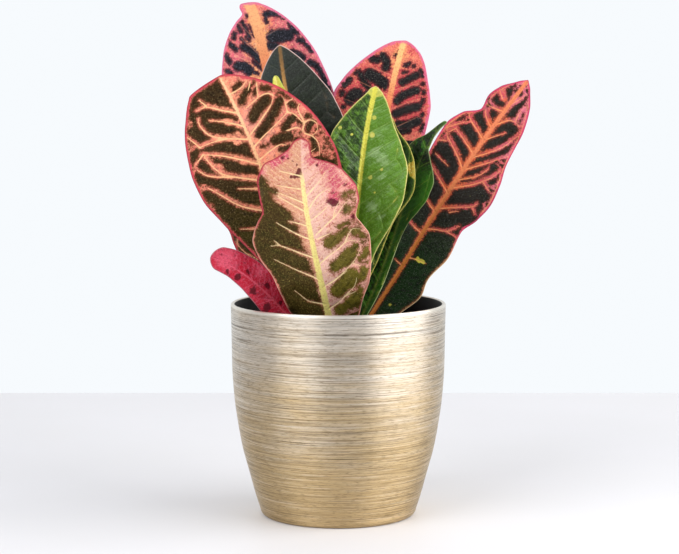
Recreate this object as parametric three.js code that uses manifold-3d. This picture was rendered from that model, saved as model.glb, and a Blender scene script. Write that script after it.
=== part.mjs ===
// Potted croton: a young croton in a black grower's pot, stood inside a gold metal cover pot.
// Millimetres, +Z up, origin at the middle of the cover pot's base, -Y towards the plant's best side.
import * as THREE from 'three'
import { mergeVertices } from 'three/addons/utils/BufferGeometryUtils.js'
import Module from 'manifold-3d'

const wasm = await Module()
wasm.setup()

// Cover pot
const POT_HEIGHT = 119
const POT_WALL = 2.2
const POT_FLOOR = 3
const POT_FOOT_RADIUS = 41
// The outside's radius at each height: a straight neck that rounds in towards the foot.
const POT_SIDE = [[2.6, 43.9], [11, 46.5], [25, 50.3], [38.5, 53.9], [52, 56.3], [66, 58.2], [84, 59.4], [104, 59.7], [117.8, 60]]
const POT_FACETS = 56

// Grower's pot
const CLEARANCE = 0.3
const GROWER_HEIGHT = 88
const GROWER_FOOT_RADIUS = 38
const GROWER_TOP_RADIUS = 49
const GROWER_WALL = 1.4
const GROWER_RIM_RADIUS = 52
const GROWER_RIM_DEPTH = 7
const DRAIN_HOLES = 6
const DRAIN_HOLE_RADIUS = 4
const DRAIN_RING_RADIUS = 26
const GROWER_FACETS = 40

// Potting soil
const SOIL_TOP = 83
const SOIL_LUMP = 1.6

// Stem
const STEM_ROOT = 60
const STEM_TOP = 112.4
const STEM_RADIUS = 4.2
const STEM_TAPER = 1 / 30
const STEM_NODE_RIDGE = 0.18
const STEM_NODE_SPACING = 5.5

// Leaves
const BLADE_THICKNESS = 0.9
const STALK_THICKNESS = 2
const STALK_HALF_WIDTH = 1.2
const STALK_SHARE = 0.12
const FOOT_GAP = 0.35
const TIP_HALF_WIDTH = 0.6
const LEAF_ROWS = 24
const LEAF_COLUMNS = 6
const REAR_LEAF_ROWS = 16
const REAR_LEAF_COLUMNS = 4
const ROW_CROWDING = 0.45

const standard = (color, roughness, metalness = 0, side = THREE.FrontSide) =>
  new THREE.MeshStandardMaterial({ color, roughness, metalness, side })

const plant = new THREE.Group()

function addPiece(name, geometry, material) {
  const mesh = new THREE.Mesh(geometry, material)
  mesh.name = name
  plant.add(mesh)
  return mesh
}

// A profile of [radius, height] pairs turned about the plant's upright axis.
function turned(profile, facets) {
  const points = profile.map(([radius, height]) => new THREE.Vector2(radius, height))
  return new THREE.LatheGeometry(points, facets).rotateX(Math.PI / 2)
}

// Cover pot: one spun metal shell, open at the top, with a flat foot and a softly rounded lip
function coverPot() {
  const side = POT_SIDE.map(([height, radius]) => [radius, height])
  const inside = POT_SIDE.slice(1, -1).reverse().map(([height, radius]) => [radius - POT_WALL, height])
  const lip = [[59.7, POT_HEIGHT - 0.4], [59.1, POT_HEIGHT], [58.5, POT_HEIGHT], [57.9, POT_HEIGHT - 0.5]]
  return turned([
    [0, 0],
    [POT_FOOT_RADIUS, 0],
    [POT_FOOT_RADIUS + 1.8, 0.7],
    ...side,
    ...lip,
    ...inside,
    [POT_FOOT_RADIUS, POT_FLOOR],
    [0, POT_FLOOR],
  ], POT_FACETS)
}

addPiece('pot', coverPot(), standard(0xb9a98a, 0.32, 0.9))

// Grower's pot: thin black plastic, tapered, with a turned-down rim and drain holes in its floor
const growerBottom = POT_FLOOR + CLEARANCE
const growerTop = growerBottom + GROWER_HEIGHT
const growerRadius = height =>
  THREE.MathUtils.mapLinear(height, growerBottom, growerTop, GROWER_FOOT_RADIUS, GROWER_TOP_RADIUS)

function closedSolid(geometry) {
  const bare = geometry.clone()
  bare.deleteAttribute('normal')
  bare.deleteAttribute('uv')
  const merged = mergeVertices(bare, 1e-4)
  const triVerts = Uint32Array.from(merged.index.array)
  return new wasm.Manifold(new wasm.Mesh({ numProp: 3, vertProperties: merged.attributes.position.array, triVerts }))
}

function solidGeometry(solid) {
  const { vertProperties, triVerts } = solid.getMesh()
  const geometry = new THREE.BufferGeometry()
  geometry.setAttribute('position', new THREE.BufferAttribute(vertProperties, 3))
  geometry.setIndex(new THREE.BufferAttribute(triVerts, 1))
  return geometry
}

function growersPot() {
  const rimBottom = growerTop - GROWER_RIM_DEPTH
  const floorTop = growerBottom + GROWER_WALL
  let pot = closedSolid(turned([
    [0, growerBottom],
    [GROWER_FOOT_RADIUS, growerBottom],
    [growerRadius(rimBottom), rimBottom],
    [GROWER_RIM_RADIUS - GROWER_WALL, rimBottom],
    [GROWER_RIM_RADIUS - GROWER_WALL, rimBottom - 2],
    [GROWER_RIM_RADIUS, rimBottom - 2],
    [GROWER_RIM_RADIUS, growerTop],
    [growerRadius(growerTop) - GROWER_WALL, growerTop],
    [growerRadius(floorTop) - GROWER_WALL, floorTop],
    [0, floorTop],
  ], GROWER_FACETS))
  for (let hole = 0; hole < DRAIN_HOLES; hole++) {
    const angle = (hole / DRAIN_HOLES) * 2 * Math.PI
    const drill = new THREE.CylinderGeometry(DRAIN_HOLE_RADIUS, DRAIN_HOLE_RADIUS, 4 * GROWER_WALL, 12)
    drill.rotateX(Math.PI / 2)
    drill.translate(DRAIN_RING_RADIUS * Math.cos(angle), DRAIN_RING_RADIUS * Math.sin(angle), floorTop)
    pot = pot.subtract(closedSolid(drill))
  }
  return solidGeometry(pot)
}

addPiece('grower_pot', growersPot(), standard(0x141414, 0.6))

// Soil: fills the grower's pot, lumpy on top, with a plain hole that the stem stands in
const stemRadius = height => STEM_RADIUS - (height - SOIL_TOP) * STEM_TAPER

function soilBed() {
  const bottom = growerBottom + GROWER_WALL + CLEARANCE
  const wall = height => growerRadius(height) - GROWER_WALL - CLEARANCE
  const holeRadius = STEM_RADIUS + 0.8 + CLEARANCE
  const edge = wall(SOIL_TOP)
  const geometry = turned([
    [0, bottom],
    [wall(bottom), bottom],
    [edge, SOIL_TOP],
    ...[0.88, 0.74, 0.6, 0.46, 0.32, 0.2].map(share => [edge * share, SOIL_TOP]),
    [holeRadius, SOIL_TOP],
    [holeRadius, STEM_ROOT - CLEARANCE],
    [0, STEM_ROOT - CLEARANCE],
  ], GROWER_FACETS)
  // The lumps die away at the pot's wall and round the stem.
  const position = geometry.attributes.position
  for (let i = 0; i < position.count; i++) {
    const [x, y, z] = [position.getX(i), position.getY(i), position.getZ(i)]
    const radius = Math.hypot(x, y)
    if (Math.abs(z - SOIL_TOP) > 0.01 || radius < holeRadius + 1 || radius > edge - 1) continue
    const lump = Math.sin(0.31 * x + 1.3) * Math.cos(0.27 * y) + 0.6 * Math.sin(0.53 * y - 0.2 * x + 0.4)
    position.setZ(i, SOIL_TOP + SOIL_LUMP * 0.6 * lump)
  }
  return geometry
}

addPiece('soil', soilBed(), standard(0x3a2a1c, 0.95))

// Stem: a short woody stalk with a low ridge at each old leaf scar
function woodyStem() {
  const steps = Math.round((STEM_TOP - STEM_ROOT) / (STEM_NODE_SPACING / 4))
  const side = Array.from({ length: steps + 1 }, (_, i) => {
    const height = STEM_ROOT + (i / steps) * (STEM_TOP - STEM_ROOT)
    const ridge = STEM_NODE_RIDGE * Math.sin((2 * Math.PI * (height - STEM_ROOT)) / STEM_NODE_SPACING)
    return [stemRadius(height) - STEM_NODE_RIDGE + ridge, height]
  })
  return turned([[0, STEM_ROOT], ...side, [0, STEM_TOP]], 14)
}

addPiece('stem', woodyStem(), standard(0x6b5a3c, 0.8))

// Leaves. Each has a midrib through a foot on the stem and three further points, a direction that its
// upper face looks in at foot and tip, a fold along the midrib in degrees on either side, a wave of the
// margin as [height, waves, phase left, phase right], and the outline as [share of the length, half width
// left, half width right] seen from the upper face.
const bestSide = [new THREE.Vector3(0.1, -1, 0.1), new THREE.Vector3(-0.1, -1, 0.2)]
const upward = [new THREE.Vector3(0, -0.7, 1), new THREE.Vector3(0, -0.5, 1)]

const leaves = {
  leaf_front: {
    foot: { azimuth: -100, height: 89 }, rib: [[-9, -28, 132], [-17, -34, 172], [-20, -35, 212]],
    face: [new THREE.Vector3(0, -1, 0.1), new THREE.Vector3(-0.1, -1, 0.25)],
    fold: [6, 8], wave: [2, 3, 1, 2.5], roundFrom: 0.97, color: 0xc98a6a,
    outline: [[0, 1.2, 1.2], [0.08, 8, 8], [0.18, 18, 17], [0.25, 20.5, 20.5], [0.32, 22.3, 26], [0.42, 25, 30],
      [0.52, 30.5, 31.5], [0.58, 31.7, 28.6], [0.62, 30, 26.4], [0.66, 27, 28], [0.7, 23.6, 29.6],
      [0.75, 24, 29.2], [0.82, 24.7, 25], [0.865, 22.5, 20.5], [0.89, 20.5, 15.5], [0.918, 13, 6],
      [0.955, 6.5, 5.3], [1, 3.5, 4.5]],
  },
  leaf_left: {
    foot: { azimuth: -162, height: 98 }, rib: [[-26, -11, 149], [-43, -14, 197], [-65, -13, 245]],
    face: [new THREE.Vector3(-0.2, -1, 0.1), new THREE.Vector3(-0.1, -1, 0.2)],
    fold: [5, 5], wave: [1.5, 2, 0, 1], roundFrom: 0.985, color: 0x5a3a2a,
    outline: [[0, 1.2, 1.2], [0.12, 6, 7], [0.25, 13, 20], [0.36, 20.5, 33], [0.5, 30, 41], [0.62, 36.2, 43],
      [0.7, 37.2, 41], [0.77, 36, 37.5], [0.83, 34, 32.3], [0.88, 31, 26.7], [0.92, 27.5, 20.5],
      [0.955, 24, 13.5], [0.985, 20, 6.5], [1, 18, 3]],
  },
  leaf_small: {
    foot: { azimuth: -142, height: 92, inset: 1 }, rib: [[-27, -16, 113], [-45, -24, 132], [-69.3, -30.3, 147.5]],
    face: [new THREE.Vector3(0, -1, 0.4), new THREE.Vector3(0, -1, 0.4)],
    fold: [10, 10], wave: [1, 2, 0, 1], roundFrom: 0.95, color: 0xa8303f,
    outline: [[0, 1.2, 1.2], [0.2, 6, 6], [0.45, 10, 9], [0.6, 9.2, 10], [0.75, 7.4, 10.6], [0.87, 6, 9.6],
      [0.95, 6, 7.8], [1, 5.5, 6]],
  },
  leaf_green: {
    foot: { azimuth: -25, height: 106 }, rib: [[9, 2, 151], [13, 6, 195], [21, 4, 239]],
    face: bestSide, fold: [15, 15], wave: [1, 2, 0, 1], roundFrom: 0.985, color: 0x4f8a2c,
    outline: [[0, 1.2, 1.2], [0.12, 6, 6], [0.3, 14, 12], [0.44, 19, 21], [0.55, 21, 26.2], [0.66, 22, 27],
      [0.78, 19.5, 21.5], [0.86, 14.2, 15.4], [0.93, 8, 10.5], [0.965, 4.5, 7.2], [1, 2, 2]],
  },
  leaf_folded: {
    foot: { azimuth: 31, height: 97 }, rib: [[26.5, 14, 140], [43.3, 19.3, 189], [61, 18, 219]],
    face: [new THREE.Vector3(-0.3, -1, 0.1), new THREE.Vector3(-0.3, -1, 0.2)],
    fold: [0, 35], wave: [1.5, 2, 0, 1], roundFrom: 0.985, color: 0x2f4a22,
    outline: [[0, 1.2, 1.2], [0.1, 4, 3], [0.22, 9, 4.5], [0.39, 12.5, 5.2], [0.48, 13, 8.4], [0.54, 13, 14],
      [0.6, 13, 18.2], [0.65, 12.5, 18.2], [0.7, 12, 14.4], [0.76, 10.5, 6.4], [0.8, 9, 1.6], [0.86, 4.2, 1.2],
      [0.92, 2.3, 1.2], [1, 1.2, 1.2]],
  },
  leaf_right: {
    foot: { azimuth: 26, height: 92 }, rib: [[39, 24, 141], [68, 35, 186], [109, 44.5, 242]],
    face: [new THREE.Vector3(0, -1, 0.3), new THREE.Vector3(0, -1, 0.3)],
    fold: [8, 8], wave: [2, 3, 0, 1], roundFrom: 0.985, color: 0x3a3a26,
    outline: [[0, 1.2, 1.2], [0.08, 4, 8], [0.165, 7, 13.5], [0.25, 11, 18.5], [0.3, 13.5, 17], [0.41, 16, 20.5],
      [0.515, 17.5, 18.8], [0.58, 18.5, 22.9], [0.65, 21, 25], [0.72, 22.5, 23.2], [0.785, 23, 19.5],
      [0.84, 19.3, 17.8], [0.88, 11.7, 16.7], [0.915, 13, 14.4], [0.95, 10.5, 10.8], [0.98, 5, 5.4],
      [1, 1.5, 1.5]],
  },
  leaf_behind: {
    foot: { azimuth: 0, height: 104 }, rib: [[13, 7, 147], [21, 9, 185], [29, 9, 222]],
    face: bestSide, fold: [3, 6], wave: [0.8, 2, 0, 1], roundFrom: 0.985, color: 0x36561f,
    outline: [[0, 1.2, 1.2], [0.15, 5, 5], [0.3, 10, 10], [0.5, 16, 14.5], [0.68, 18, 22], [0.8, 15, 19.2],
      [0.88, 11, 14.2], [0.95, 5, 5.5], [1, 1.5, 1.5]],
  },
  leaf_young: {
    base: [-0.5, 0.3, 113], rib: [[-14, 5, 161], [-25, 6, 204], [-35, 6, 245]],
    face: bestSide, fold: [25, 25], wave: [0, 2, 0, 1], roundFrom: 0.985, color: 0xb5c23a,
    outline: [[0, 1.2, 1.2], [0.2, 5, 5], [0.5, 10, 10], [0.75, 9, 9], [0.9, 5, 5], [1, 1.5, 1.5]],
  },
  leaf_dark: {
    foot: { azimuth: 132, height: 106 }, rib: [[-14, 20, 166], [-25, 24, 214], [-33, 26, 262]],
    face: [new THREE.Vector3(-0.1, -1, 0.1), new THREE.Vector3(-0.3, -1, 0.2)],
    fold: [12, 5], wave: [1, 2, 0, 1], roundFrom: 0.98, color: 0x1f2a1c,
    outline: [[0, 1.2, 1.2], [0.14, 6, 7], [0.3, 14, 17], [0.5, 21, 28], [0.66, 22, 30], [0.77, 20, 26.8],
      [0.87, 14.5, 19.4], [0.94, 9, 11.7], [1, 2, 2]],
  },
  leaf_back_right: {
    foot: { azimuth: 76, height: 102.5 }, rib: [[20, 33, 162], [29, 41, 213], [39, 45, 264.6]],
    face: bestSide, fold: [5, 5], wave: [1, 2, 0, 1], roundFrom: 0.985, color: 0x8f3d30,
    outline: [[0, 1.2, 1.2], [0.14, 6, 7], [0.3, 18, 16], [0.5, 28, 15], [0.65, 34, 20.5], [0.77, 34.8, 21.8],
      [0.83, 31, 19.9], [0.88, 25.6, 17.2], [0.93, 18.5, 14], [0.965, 12.5, 10.2], [0.985, 8, 6.2],
      [1, 4, 3]],
  },
  leaf_back_left: {
    foot: { azimuth: 118, height: 99 }, rib: [[-23, 41, 170], [-40, 54, 229], [-56, 58, 286]],
    face: [new THREE.Vector3(0.1, -1, 0.1), new THREE.Vector3(-0.3, -1, 0.2)],
    fold: [12, 5], wave: [1, 2, 0, 1], roundFrom: 0.985, color: 0x9c4a3c,
    outline: [[0, 1.2, 1.2], [0.14, 6, 7], [0.3, 15, 18], [0.5, 24, 31], [0.64, 26, 38.4], [0.76, 23.8, 36],
      [0.86, 18.2, 30.2], [0.92, 11.5, 23.6], [0.95, 5.8, 18.8], [0.97, 1.2, 14.8], [0.985, 1.7, 11],
      [1, 2, 8]],
  },
  leaf_rear: {
    foot: { azimuth: 98, height: 95 }, rib: [[-5, 52, 146], [-11, 78, 192], [-17, 94, 226]],
    face: upward, fold: [12, 12], wave: [2, 3, 0, 1], roundFrom: 0.96, color: 0x6a3a2c, rear: true,
    outline: [[0, 1.2, 1.2], [0.12, 6, 6], [0.3, 15, 15], [0.5, 23, 24], [0.66, 25, 24], [0.8, 20, 20],
      [0.9, 12, 11], [1, 4, 4]],
  },
  leaf_rear_right: {
    foot: { azimuth: 50, height: 89 }, rib: [[30, 38, 128], [50, 64, 162], [62, 84, 186]],
    face: [new THREE.Vector3(-0.3, -0.7, 1), new THREE.Vector3(-0.3, -0.5, 1)],
    fold: [14, 14], wave: [2, 3, 1, 2], roundFrom: 0.96, color: 0x4a3a24, rear: true,
    outline: [[0, 1.2, 1.2], [0.12, 6, 6], [0.3, 14, 13], [0.5, 21, 20], [0.66, 22, 21], [0.8, 18, 17],
      [0.9, 11, 10], [1, 4, 4]],
  },
  leaf_rear_left: {
    foot: { azimuth: 142, height: 91, inset: 0.9 }, rib: [[-32, 36, 126], [-50, 62, 154], [-62, 82, 172]],
    face: [new THREE.Vector3(0.3, -0.7, 1), new THREE.Vector3(0.3, -0.5, 1)],
    fold: [14, 14], wave: [2, 3, 2, 0], roundFrom: 0.96, color: 0x5a3626, rear: true,
    outline: [[0, 1.2, 1.2], [0.12, 6, 6], [0.3, 13, 14], [0.5, 20, 21], [0.66, 21, 22], [0.8, 17, 18],
      [0.9, 10, 11], [1, 4, 4]],
  },
  leaf_low: {
    foot: { azimuth: 84, height: 86 }, rib: [[3, 44, 118], [4, 78, 133], [4, 106, 133]],
    face: [new THREE.Vector3(0, -0.3, 1), new THREE.Vector3(0, 0, 1)],
    fold: [12, 12], wave: [1.5, 3, 0, 1], roundFrom: 0.96, color: 0x3f4a22, rear: true,
    outline: [[0, 1.2, 1.2], [0.12, 6, 6], [0.3, 13, 14], [0.5, 19, 20], [0.66, 20, 20], [0.8, 17, 16],
      [0.9, 10, 10], [1, 3, 3]],
  },
}

// Where a leaf stalk's foot stands: just clear of the stem's bark on its own side. A stalk that stands
// with a flat side to the bark comes closer by its inset.
function footPoint({ azimuth, height, inset = 0 }) {
  const angle = THREE.MathUtils.degToRad(azimuth)
  const reach = STALK_HALF_WIDTH * Math.abs(Math.cos(angle)) + (STALK_THICKNESS / 2) * Math.abs(Math.sin(angle))
  const radius = stemRadius(height) + FOOT_GAP + reach - inset
  return new THREE.Vector3(radius * Math.cos(angle), radius * Math.sin(angle), height)
}

// The cubic that passes through the foot and the three points at equal steps.
function midrib(foot, [near, far, tip]) {
  const [a, b, c] = [near, far, tip].map(point => new THREE.Vector3(...point))
  const blend = (...weights) => new THREE.Vector3()
    .addScaledVector(foot, weights[0] / 6)
    .addScaledVector(a, weights[1] / 6)
    .addScaledVector(b, weights[2] / 6)
    .addScaledVector(c, weights[3] / 6)
  return new THREE.CubicBezierCurve3(foot, blend(-5, 18, -9, 2), blend(2, -9, 18, -5), c)
}

// The smooth curve through the sizes given at a few stations, which never runs past them.
function throughStations(stations, sizes) {
  const last = stations.length - 1
  const slopes = stations.slice(1).map((s, i) => (sizes[i + 1] - sizes[i]) / (s - stations[i]))
  const tangents = sizes.map((_, i) => {
    if (i === 0) return slopes[0]
    if (i === last) return slopes[last - 1]
    const [before, after] = [slopes[i - 1], slopes[i]]
    return before * after > 0 ? (2 * before * after) / (before + after) : 0
  })
  return at => {
    const i = Math.min(last - 1, Math.max(0, stations.findLastIndex(s => s <= at)))
    const step = stations[i + 1] - stations[i]
    const t = (at - stations[i]) / step
    return sizes[i] * (1 + 2 * t) * (1 - t) ** 2 + tangents[i] * step * t * (1 - t) ** 2
      + sizes[i + 1] * t * t * (3 - 2 * t) - tangents[i + 1] * step * t * t * (1 - t)
  }
}

// A blade's middle surface: v runs from foot to tip, u from the left margin (-1) to the right (1).
function bladeSurface(leaf) {
  const curve = midrib(leaf.foot ? footPoint(leaf.foot) : new THREE.Vector3(...leaf.base), leaf.rib)
  const stations = leaf.outline.map(([share]) => share)
  const halfWidths = [1, 2].map(side => throughStations(stations, leaf.outline.map(row => row[side])))
  const [height, waves, ...phases] = leaf.wave
  return (v, u) => {
    const side = u < 0 ? 0 : 1
    const centre = curve.getPoint(v)
    const along = curve.getTangent(v)
    const up = leaf.face[0].clone().lerp(leaf.face[1], v)
    up.addScaledVector(along, -up.dot(along)).normalize()
    const across = along.clone().cross(up)
    const tipShare = Math.max(0, v - leaf.roundFrom) / (1 - leaf.roundFrom)
    const halfWidth = Math.max(TIP_HALF_WIDTH, halfWidths[side](v) * Math.sqrt(Math.max(0, 1 - tipShare ** 2)))
    const fold = THREE.MathUtils.degToRad(leaf.fold[side])
    const fade = Math.min(1, 4 * v) * Math.min(1, 5 * (1 - v))
    const ripple = height * u * u * fade * Math.sin(2 * Math.PI * waves * v + phases[side])
    const lift = Math.abs(u) * halfWidth * Math.sin(fold) + ripple
    centre.addScaledVector(across, u * halfWidth * Math.cos(fold)).addScaledVector(up, lift)
    return { point: centre, up }
  }
}

// Rows stand closer together at the foot and the tip, where the outline turns fastest.
const crowdedEnds = share => share - (ROW_CROWDING * Math.sin(2 * Math.PI * share)) / (2 * Math.PI)

// The leaf as one closed body: the middle surface moved up and down by half the thickness, both faces
// split into the same triangles, and a strip round the margin.
function leafGeometry(leaf) {
  const rows = leaf.rear ? REAR_LEAF_ROWS : LEAF_ROWS
  const columns = leaf.rear ? REAR_LEAF_COLUMNS : LEAF_COLUMNS
  const surface = bladeSurface(leaf)
  const corners = []
  for (const face of [1, -1]) {
    for (let row = 0; row <= rows; row++) {
      const v = crowdedEnds(row / rows)
      const stalk = 1 - THREE.MathUtils.smoothstep(v, 0, STALK_SHARE)
      const thickness = THREE.MathUtils.lerp(BLADE_THICKNESS, STALK_THICKNESS, stalk)
      for (let column = 0; column <= columns; column++) {
        const { point, up } = surface(v, (2 * column) / columns - 1)
        corners.push(...point.addScaledVector(up, (face * thickness) / 2))
      }
    }
  }
  const upper = (row, column) => row * (columns + 1) + column
  const lower = (row, column) => upper(row, column) + (rows + 1) * (columns + 1)
  const triangles = []
  const quad = (a, b, c, d) => triangles.push(a, b, d, b, c, d)
  for (let row = 0; row < rows; row++) {
    for (let column = 0; column < columns; column++) {
      const [a, b, c, d] = [[0, 0], [0, 1], [1, 1], [1, 0]].map(([r, k]) => [row + r, column + k])
      quad(upper(...a), upper(...b), upper(...c), upper(...d))
      triangles.push(lower(...a), lower(...d), lower(...b), lower(...b), lower(...d), lower(...c))
    }
    quad(upper(row, 0), upper(row + 1, 0), lower(row + 1, 0), lower(row, 0))
    quad(upper(row + 1, columns), upper(row, columns), lower(row, columns), lower(row + 1, columns))
  }
  for (let column = 0; column < columns; column++) {
    quad(upper(0, column + 1), upper(0, column), lower(0, column), lower(0, column + 1))
    quad(upper(rows, column), upper(rows, column + 1), lower(rows, column + 1), lower(rows, column))
  }
  const geometry = new THREE.BufferGeometry()
  geometry.setAttribute('position', new THREE.Float32BufferAttribute(corners, 3))
  geometry.setIndex(triangles)
  return geometry
}

for (const [name, leaf] of Object.entries(leaves)) {
  addPiece(name, leafGeometry(leaf), standard(leaf.color, 0.4))
}

export default plant
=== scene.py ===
# A young croton in a black plastic grower's pot, stood inside a brushed gold metal cover pot.
import math

import bpy
import numpy as np
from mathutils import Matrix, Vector


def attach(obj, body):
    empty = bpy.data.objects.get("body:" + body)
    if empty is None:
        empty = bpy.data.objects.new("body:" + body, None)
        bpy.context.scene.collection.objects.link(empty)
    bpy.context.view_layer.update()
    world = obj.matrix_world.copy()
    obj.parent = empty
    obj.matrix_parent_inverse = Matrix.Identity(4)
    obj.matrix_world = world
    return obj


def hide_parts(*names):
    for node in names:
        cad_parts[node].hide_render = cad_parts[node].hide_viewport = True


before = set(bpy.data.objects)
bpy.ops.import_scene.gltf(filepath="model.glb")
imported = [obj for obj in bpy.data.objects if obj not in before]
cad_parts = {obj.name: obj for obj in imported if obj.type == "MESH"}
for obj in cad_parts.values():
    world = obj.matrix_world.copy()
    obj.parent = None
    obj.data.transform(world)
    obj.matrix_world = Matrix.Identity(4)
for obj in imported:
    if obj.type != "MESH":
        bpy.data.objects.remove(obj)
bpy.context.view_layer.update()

# Cover pot. A spun metal shell about 2 mm thick, with a softly rounded lip, brushed on the lathe so that
# fine rings run round it, and washed with a gold lacquer that has worn to silver in streaks. Black inside.
MM = 0.001
POT_HEIGHT = 119.0
POT_RIM_RADIUS = 60.0
POT_FOOT_RADIUS = 41.0
POT_FOOT_ROUND = 2.9
POT_LIP_ROUND = 1.1
POT_SIDE = [(POT_FOOT_ROUND, 43.9), (11, 46.5), (25, 50.3), (38.5, 53.9), (52, 56.3), (66, 58.2),
            (84, 59.4), (104, 59.7), (POT_HEIGHT - POT_LIP_ROUND, POT_RIM_RADIUS)]
POT_WALL = 2.2
POT_FLOOR = 3.0
POT_FLOOR_ROUND = 4.0
POT_LINING_FOOT = 8.0
POT_RINGS = 92
POT_SIDES = 280
NECK_SCRATCH_HEIGHT = 108.5
LIP_SHINE_HEIGHTS = (116.8, 118.2)
GOLD = "#c8ae82"
BROWN_GOLD = "#6c5a3e"
PALE_SILVER = "#d9d5cf"
LIP_SILVER = "#f1ebdf"
SCRATCH_BROWN = "#3a2d1c"
LINING_BLACK = "#0c0a09"


def paint(code):
    """The colour of a hex code as linear red, green, blue and alpha: each share s becomes s / 12.92 where
    it is small, and otherwise ((s + 0.055) / 1.055) to the power 2.4."""
    shares = np.array([int(code[i:i + 2], 16) for i in (1, 3, 5)]) / 255
    linear = np.where(shares < 0.04045, shares / 12.92, ((shares + 0.055) / 1.055) ** 2.4)
    return (*linear.tolist(), 1.0)


class Wire:
    """The output of a node. Arithmetic on wires and numbers adds Math nodes."""

    def __init__(self, finish, socket):
        self.finish = finish
        self.socket = socket

    def math(self, operation, *terms):
        return self.finish.node("ShaderNodeMath", {"operation": operation}, dict(enumerate(terms)))

    def __add__(self, other):
        return self.math("ADD", self, other)

    def __sub__(self, other):
        return self.math("SUBTRACT", self, other)

    def __rsub__(self, other):
        return self.math("SUBTRACT", other, self)

    def __mul__(self, other):
        return self.math("MULTIPLY", self, other)

    def __abs__(self):
        return self.math("ABSOLUTE", self)

    __radd__ = __add__
    __rmul__ = __mul__

    def rise(self, low, high):
        """0 up to low, 1 from high on, and a smooth S between. It falls where low is above high."""
        return self.finish.node(
            "ShaderNodeMapRange", {"interpolation_type": "SMOOTHSTEP"},
            {"Value": self, "From Min": low, "From Max": high})


class Finish:
    """The nodes of a material, or of the world's light."""

    def __init__(self, owner):
        self.owner = owner
        owner.use_nodes = True
        self.tree = owner.node_tree

    def node(self, kind, settings=None, sockets=None, output=0):
        """Adds a node. Its settings are set first, then its sockets, by name or number, to values or to
        wires. Gives the wire from the named or numbered output."""
        added = self.tree.nodes.new(kind)
        for name, value in (settings or {}).items():
            setattr(added, name, value)
        self.connect(added, sockets or {})
        return Wire(self, added.outputs[output])

    def connect(self, node, sockets):
        for name, value in sockets.items():
            if isinstance(value, Wire):
                self.tree.links.new(value.socket, node.inputs[name])
            else:
                node.inputs[name].default_value = value

    def place(self):
        return self.node("ShaderNodeTexCoord", output="Object")

    def parts(self, vector):
        split = self.node("ShaderNodeSeparateXYZ", {}, {0: vector})
        return [Wire(self, socket) for socket in split.socket.node.outputs]

    def stretched(self, vector, factors):
        return self.node("ShaderNodeVectorMath", {"operation": "MULTIPLY"}, {0: vector, 1: factors})

    def noise(self, vector, scale, detail=2.0, roughness=0.5):
        return self.node("ShaderNodeTexNoise", {}, {
            "Vector": vector, "Scale": scale, "Detail": detail, "Roughness": roughness})

    def blend(self, first, second, share):
        """The first colour where share is 0, the second where it is 1."""
        return self.node("ShaderNodeMix", {"data_type": "RGBA"}, {0: share, 6: first, 7: second}, 2)

    def bump(self, height, strength, distance):
        return self.node("ShaderNodeBump", {}, {
            "Height": height, "Strength": strength, "Distance": distance})

    def surface(self, **sockets):
        """Sets the surface's sockets: Base_Color stands for Base Color, and so on."""
        shader = self.tree.nodes["Principled BSDF"]
        self.connect(shader, {name.replace("_", " "): value for name, value in sockets.items()})


def through(stations, at):
    """The smooth curve through (station, size) pairs, which never runs past them: between two stations it
    is the cubic with the slopes there, and a slope is the harmonic mean of its neighbours' or zero."""
    x, y = np.array(stations, float).T
    step = np.diff(x)
    rise = np.diff(y) / step
    before, after = rise[:-1], rise[1:]
    same_way = before * after > 0
    middle = np.where(same_way, 2 * before * after / np.where(same_way, before + after, 1), 0)
    slope = np.concatenate([rise[:1], middle, rise[-1:]])
    i = np.clip(np.searchsorted(x, at, side="right") - 1, 0, len(step) - 1)
    t = (at - x[i]) / step[i]
    return (y[i] * (1 + 2 * t) * (1 - t) ** 2 + slope[i] * step[i] * t * (1 - t) ** 2
            + y[i + 1] * t * t * (3 - 2 * t) - slope[i + 1] * step[i] * t * t * (1 - t))


def arc(centre, radius, start, end, count):
    """Points at radius from centre, at even angles from start to end in degrees."""
    angle = np.radians(np.linspace(start, end, count))
    return np.stack([centre[0] + radius * np.cos(angle), centre[1] + radius * np.sin(angle)], 1)


def new_mesh(name, points, faces, material, fields=None):
    """A smooth-shaded object of points in millimetres and of arrays of faces, each array with its own
    number of corners, and with any further values that its points carry."""
    mesh = bpy.data.meshes.new(name)
    corners = np.concatenate([group.ravel() for group in faces])
    sizes = np.concatenate([np.full(len(group), group.shape[1]) for group in faces])
    mesh.vertices.add(len(points))
    mesh.vertices.foreach_set("co", (points * MM).astype(np.float32).ravel())
    mesh.loops.add(len(corners))
    mesh.loops.foreach_set("vertex_index", corners.astype(np.int32))
    mesh.polygons.add(len(sizes))
    mesh.polygons.foreach_set("loop_start", (np.cumsum(sizes) - sizes).astype(np.int32))
    mesh.update(calc_edges=True)
    for field, values in (fields or {}).items():
        kind, key = ("FLOAT_VECTOR", "vector") if values.ndim == 2 else ("FLOAT", "value")
        attribute = mesh.attributes.new(field, kind, "POINT")
        attribute.data.foreach_set(key, values.astype(np.float32).ravel())
    mesh.shade_smooth()
    mesh.materials.append(material)
    piece = bpy.data.objects.new(name, mesh)
    bpy.context.scene.collection.objects.link(piece)
    return piece


def tube_faces(rings, sides):
    """Quads between rings of points that follow each other, each ring closed on itself."""
    ring, side = np.meshgrid(np.arange(rings - 1), np.arange(sides), indexing="ij")
    beside = (side + 1) % sides
    quads = np.stack([ring * sides + side, ring * sides + beside,
                      (ring + 1) * sides + beside, (ring + 1) * sides + side], -1)
    return quads.reshape(-1, 4)


def cap_faces(ring_start, sides, centre, backwards):
    """Triangles from a ring of points to the point at its centre."""
    side = ring_start + np.arange(sides)
    pair = [side, ring_start + (np.arange(sides) + 1) % sides]
    return np.stack([np.full(sides, centre), *(pair[::-1] if backwards else pair)], 1)


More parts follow.
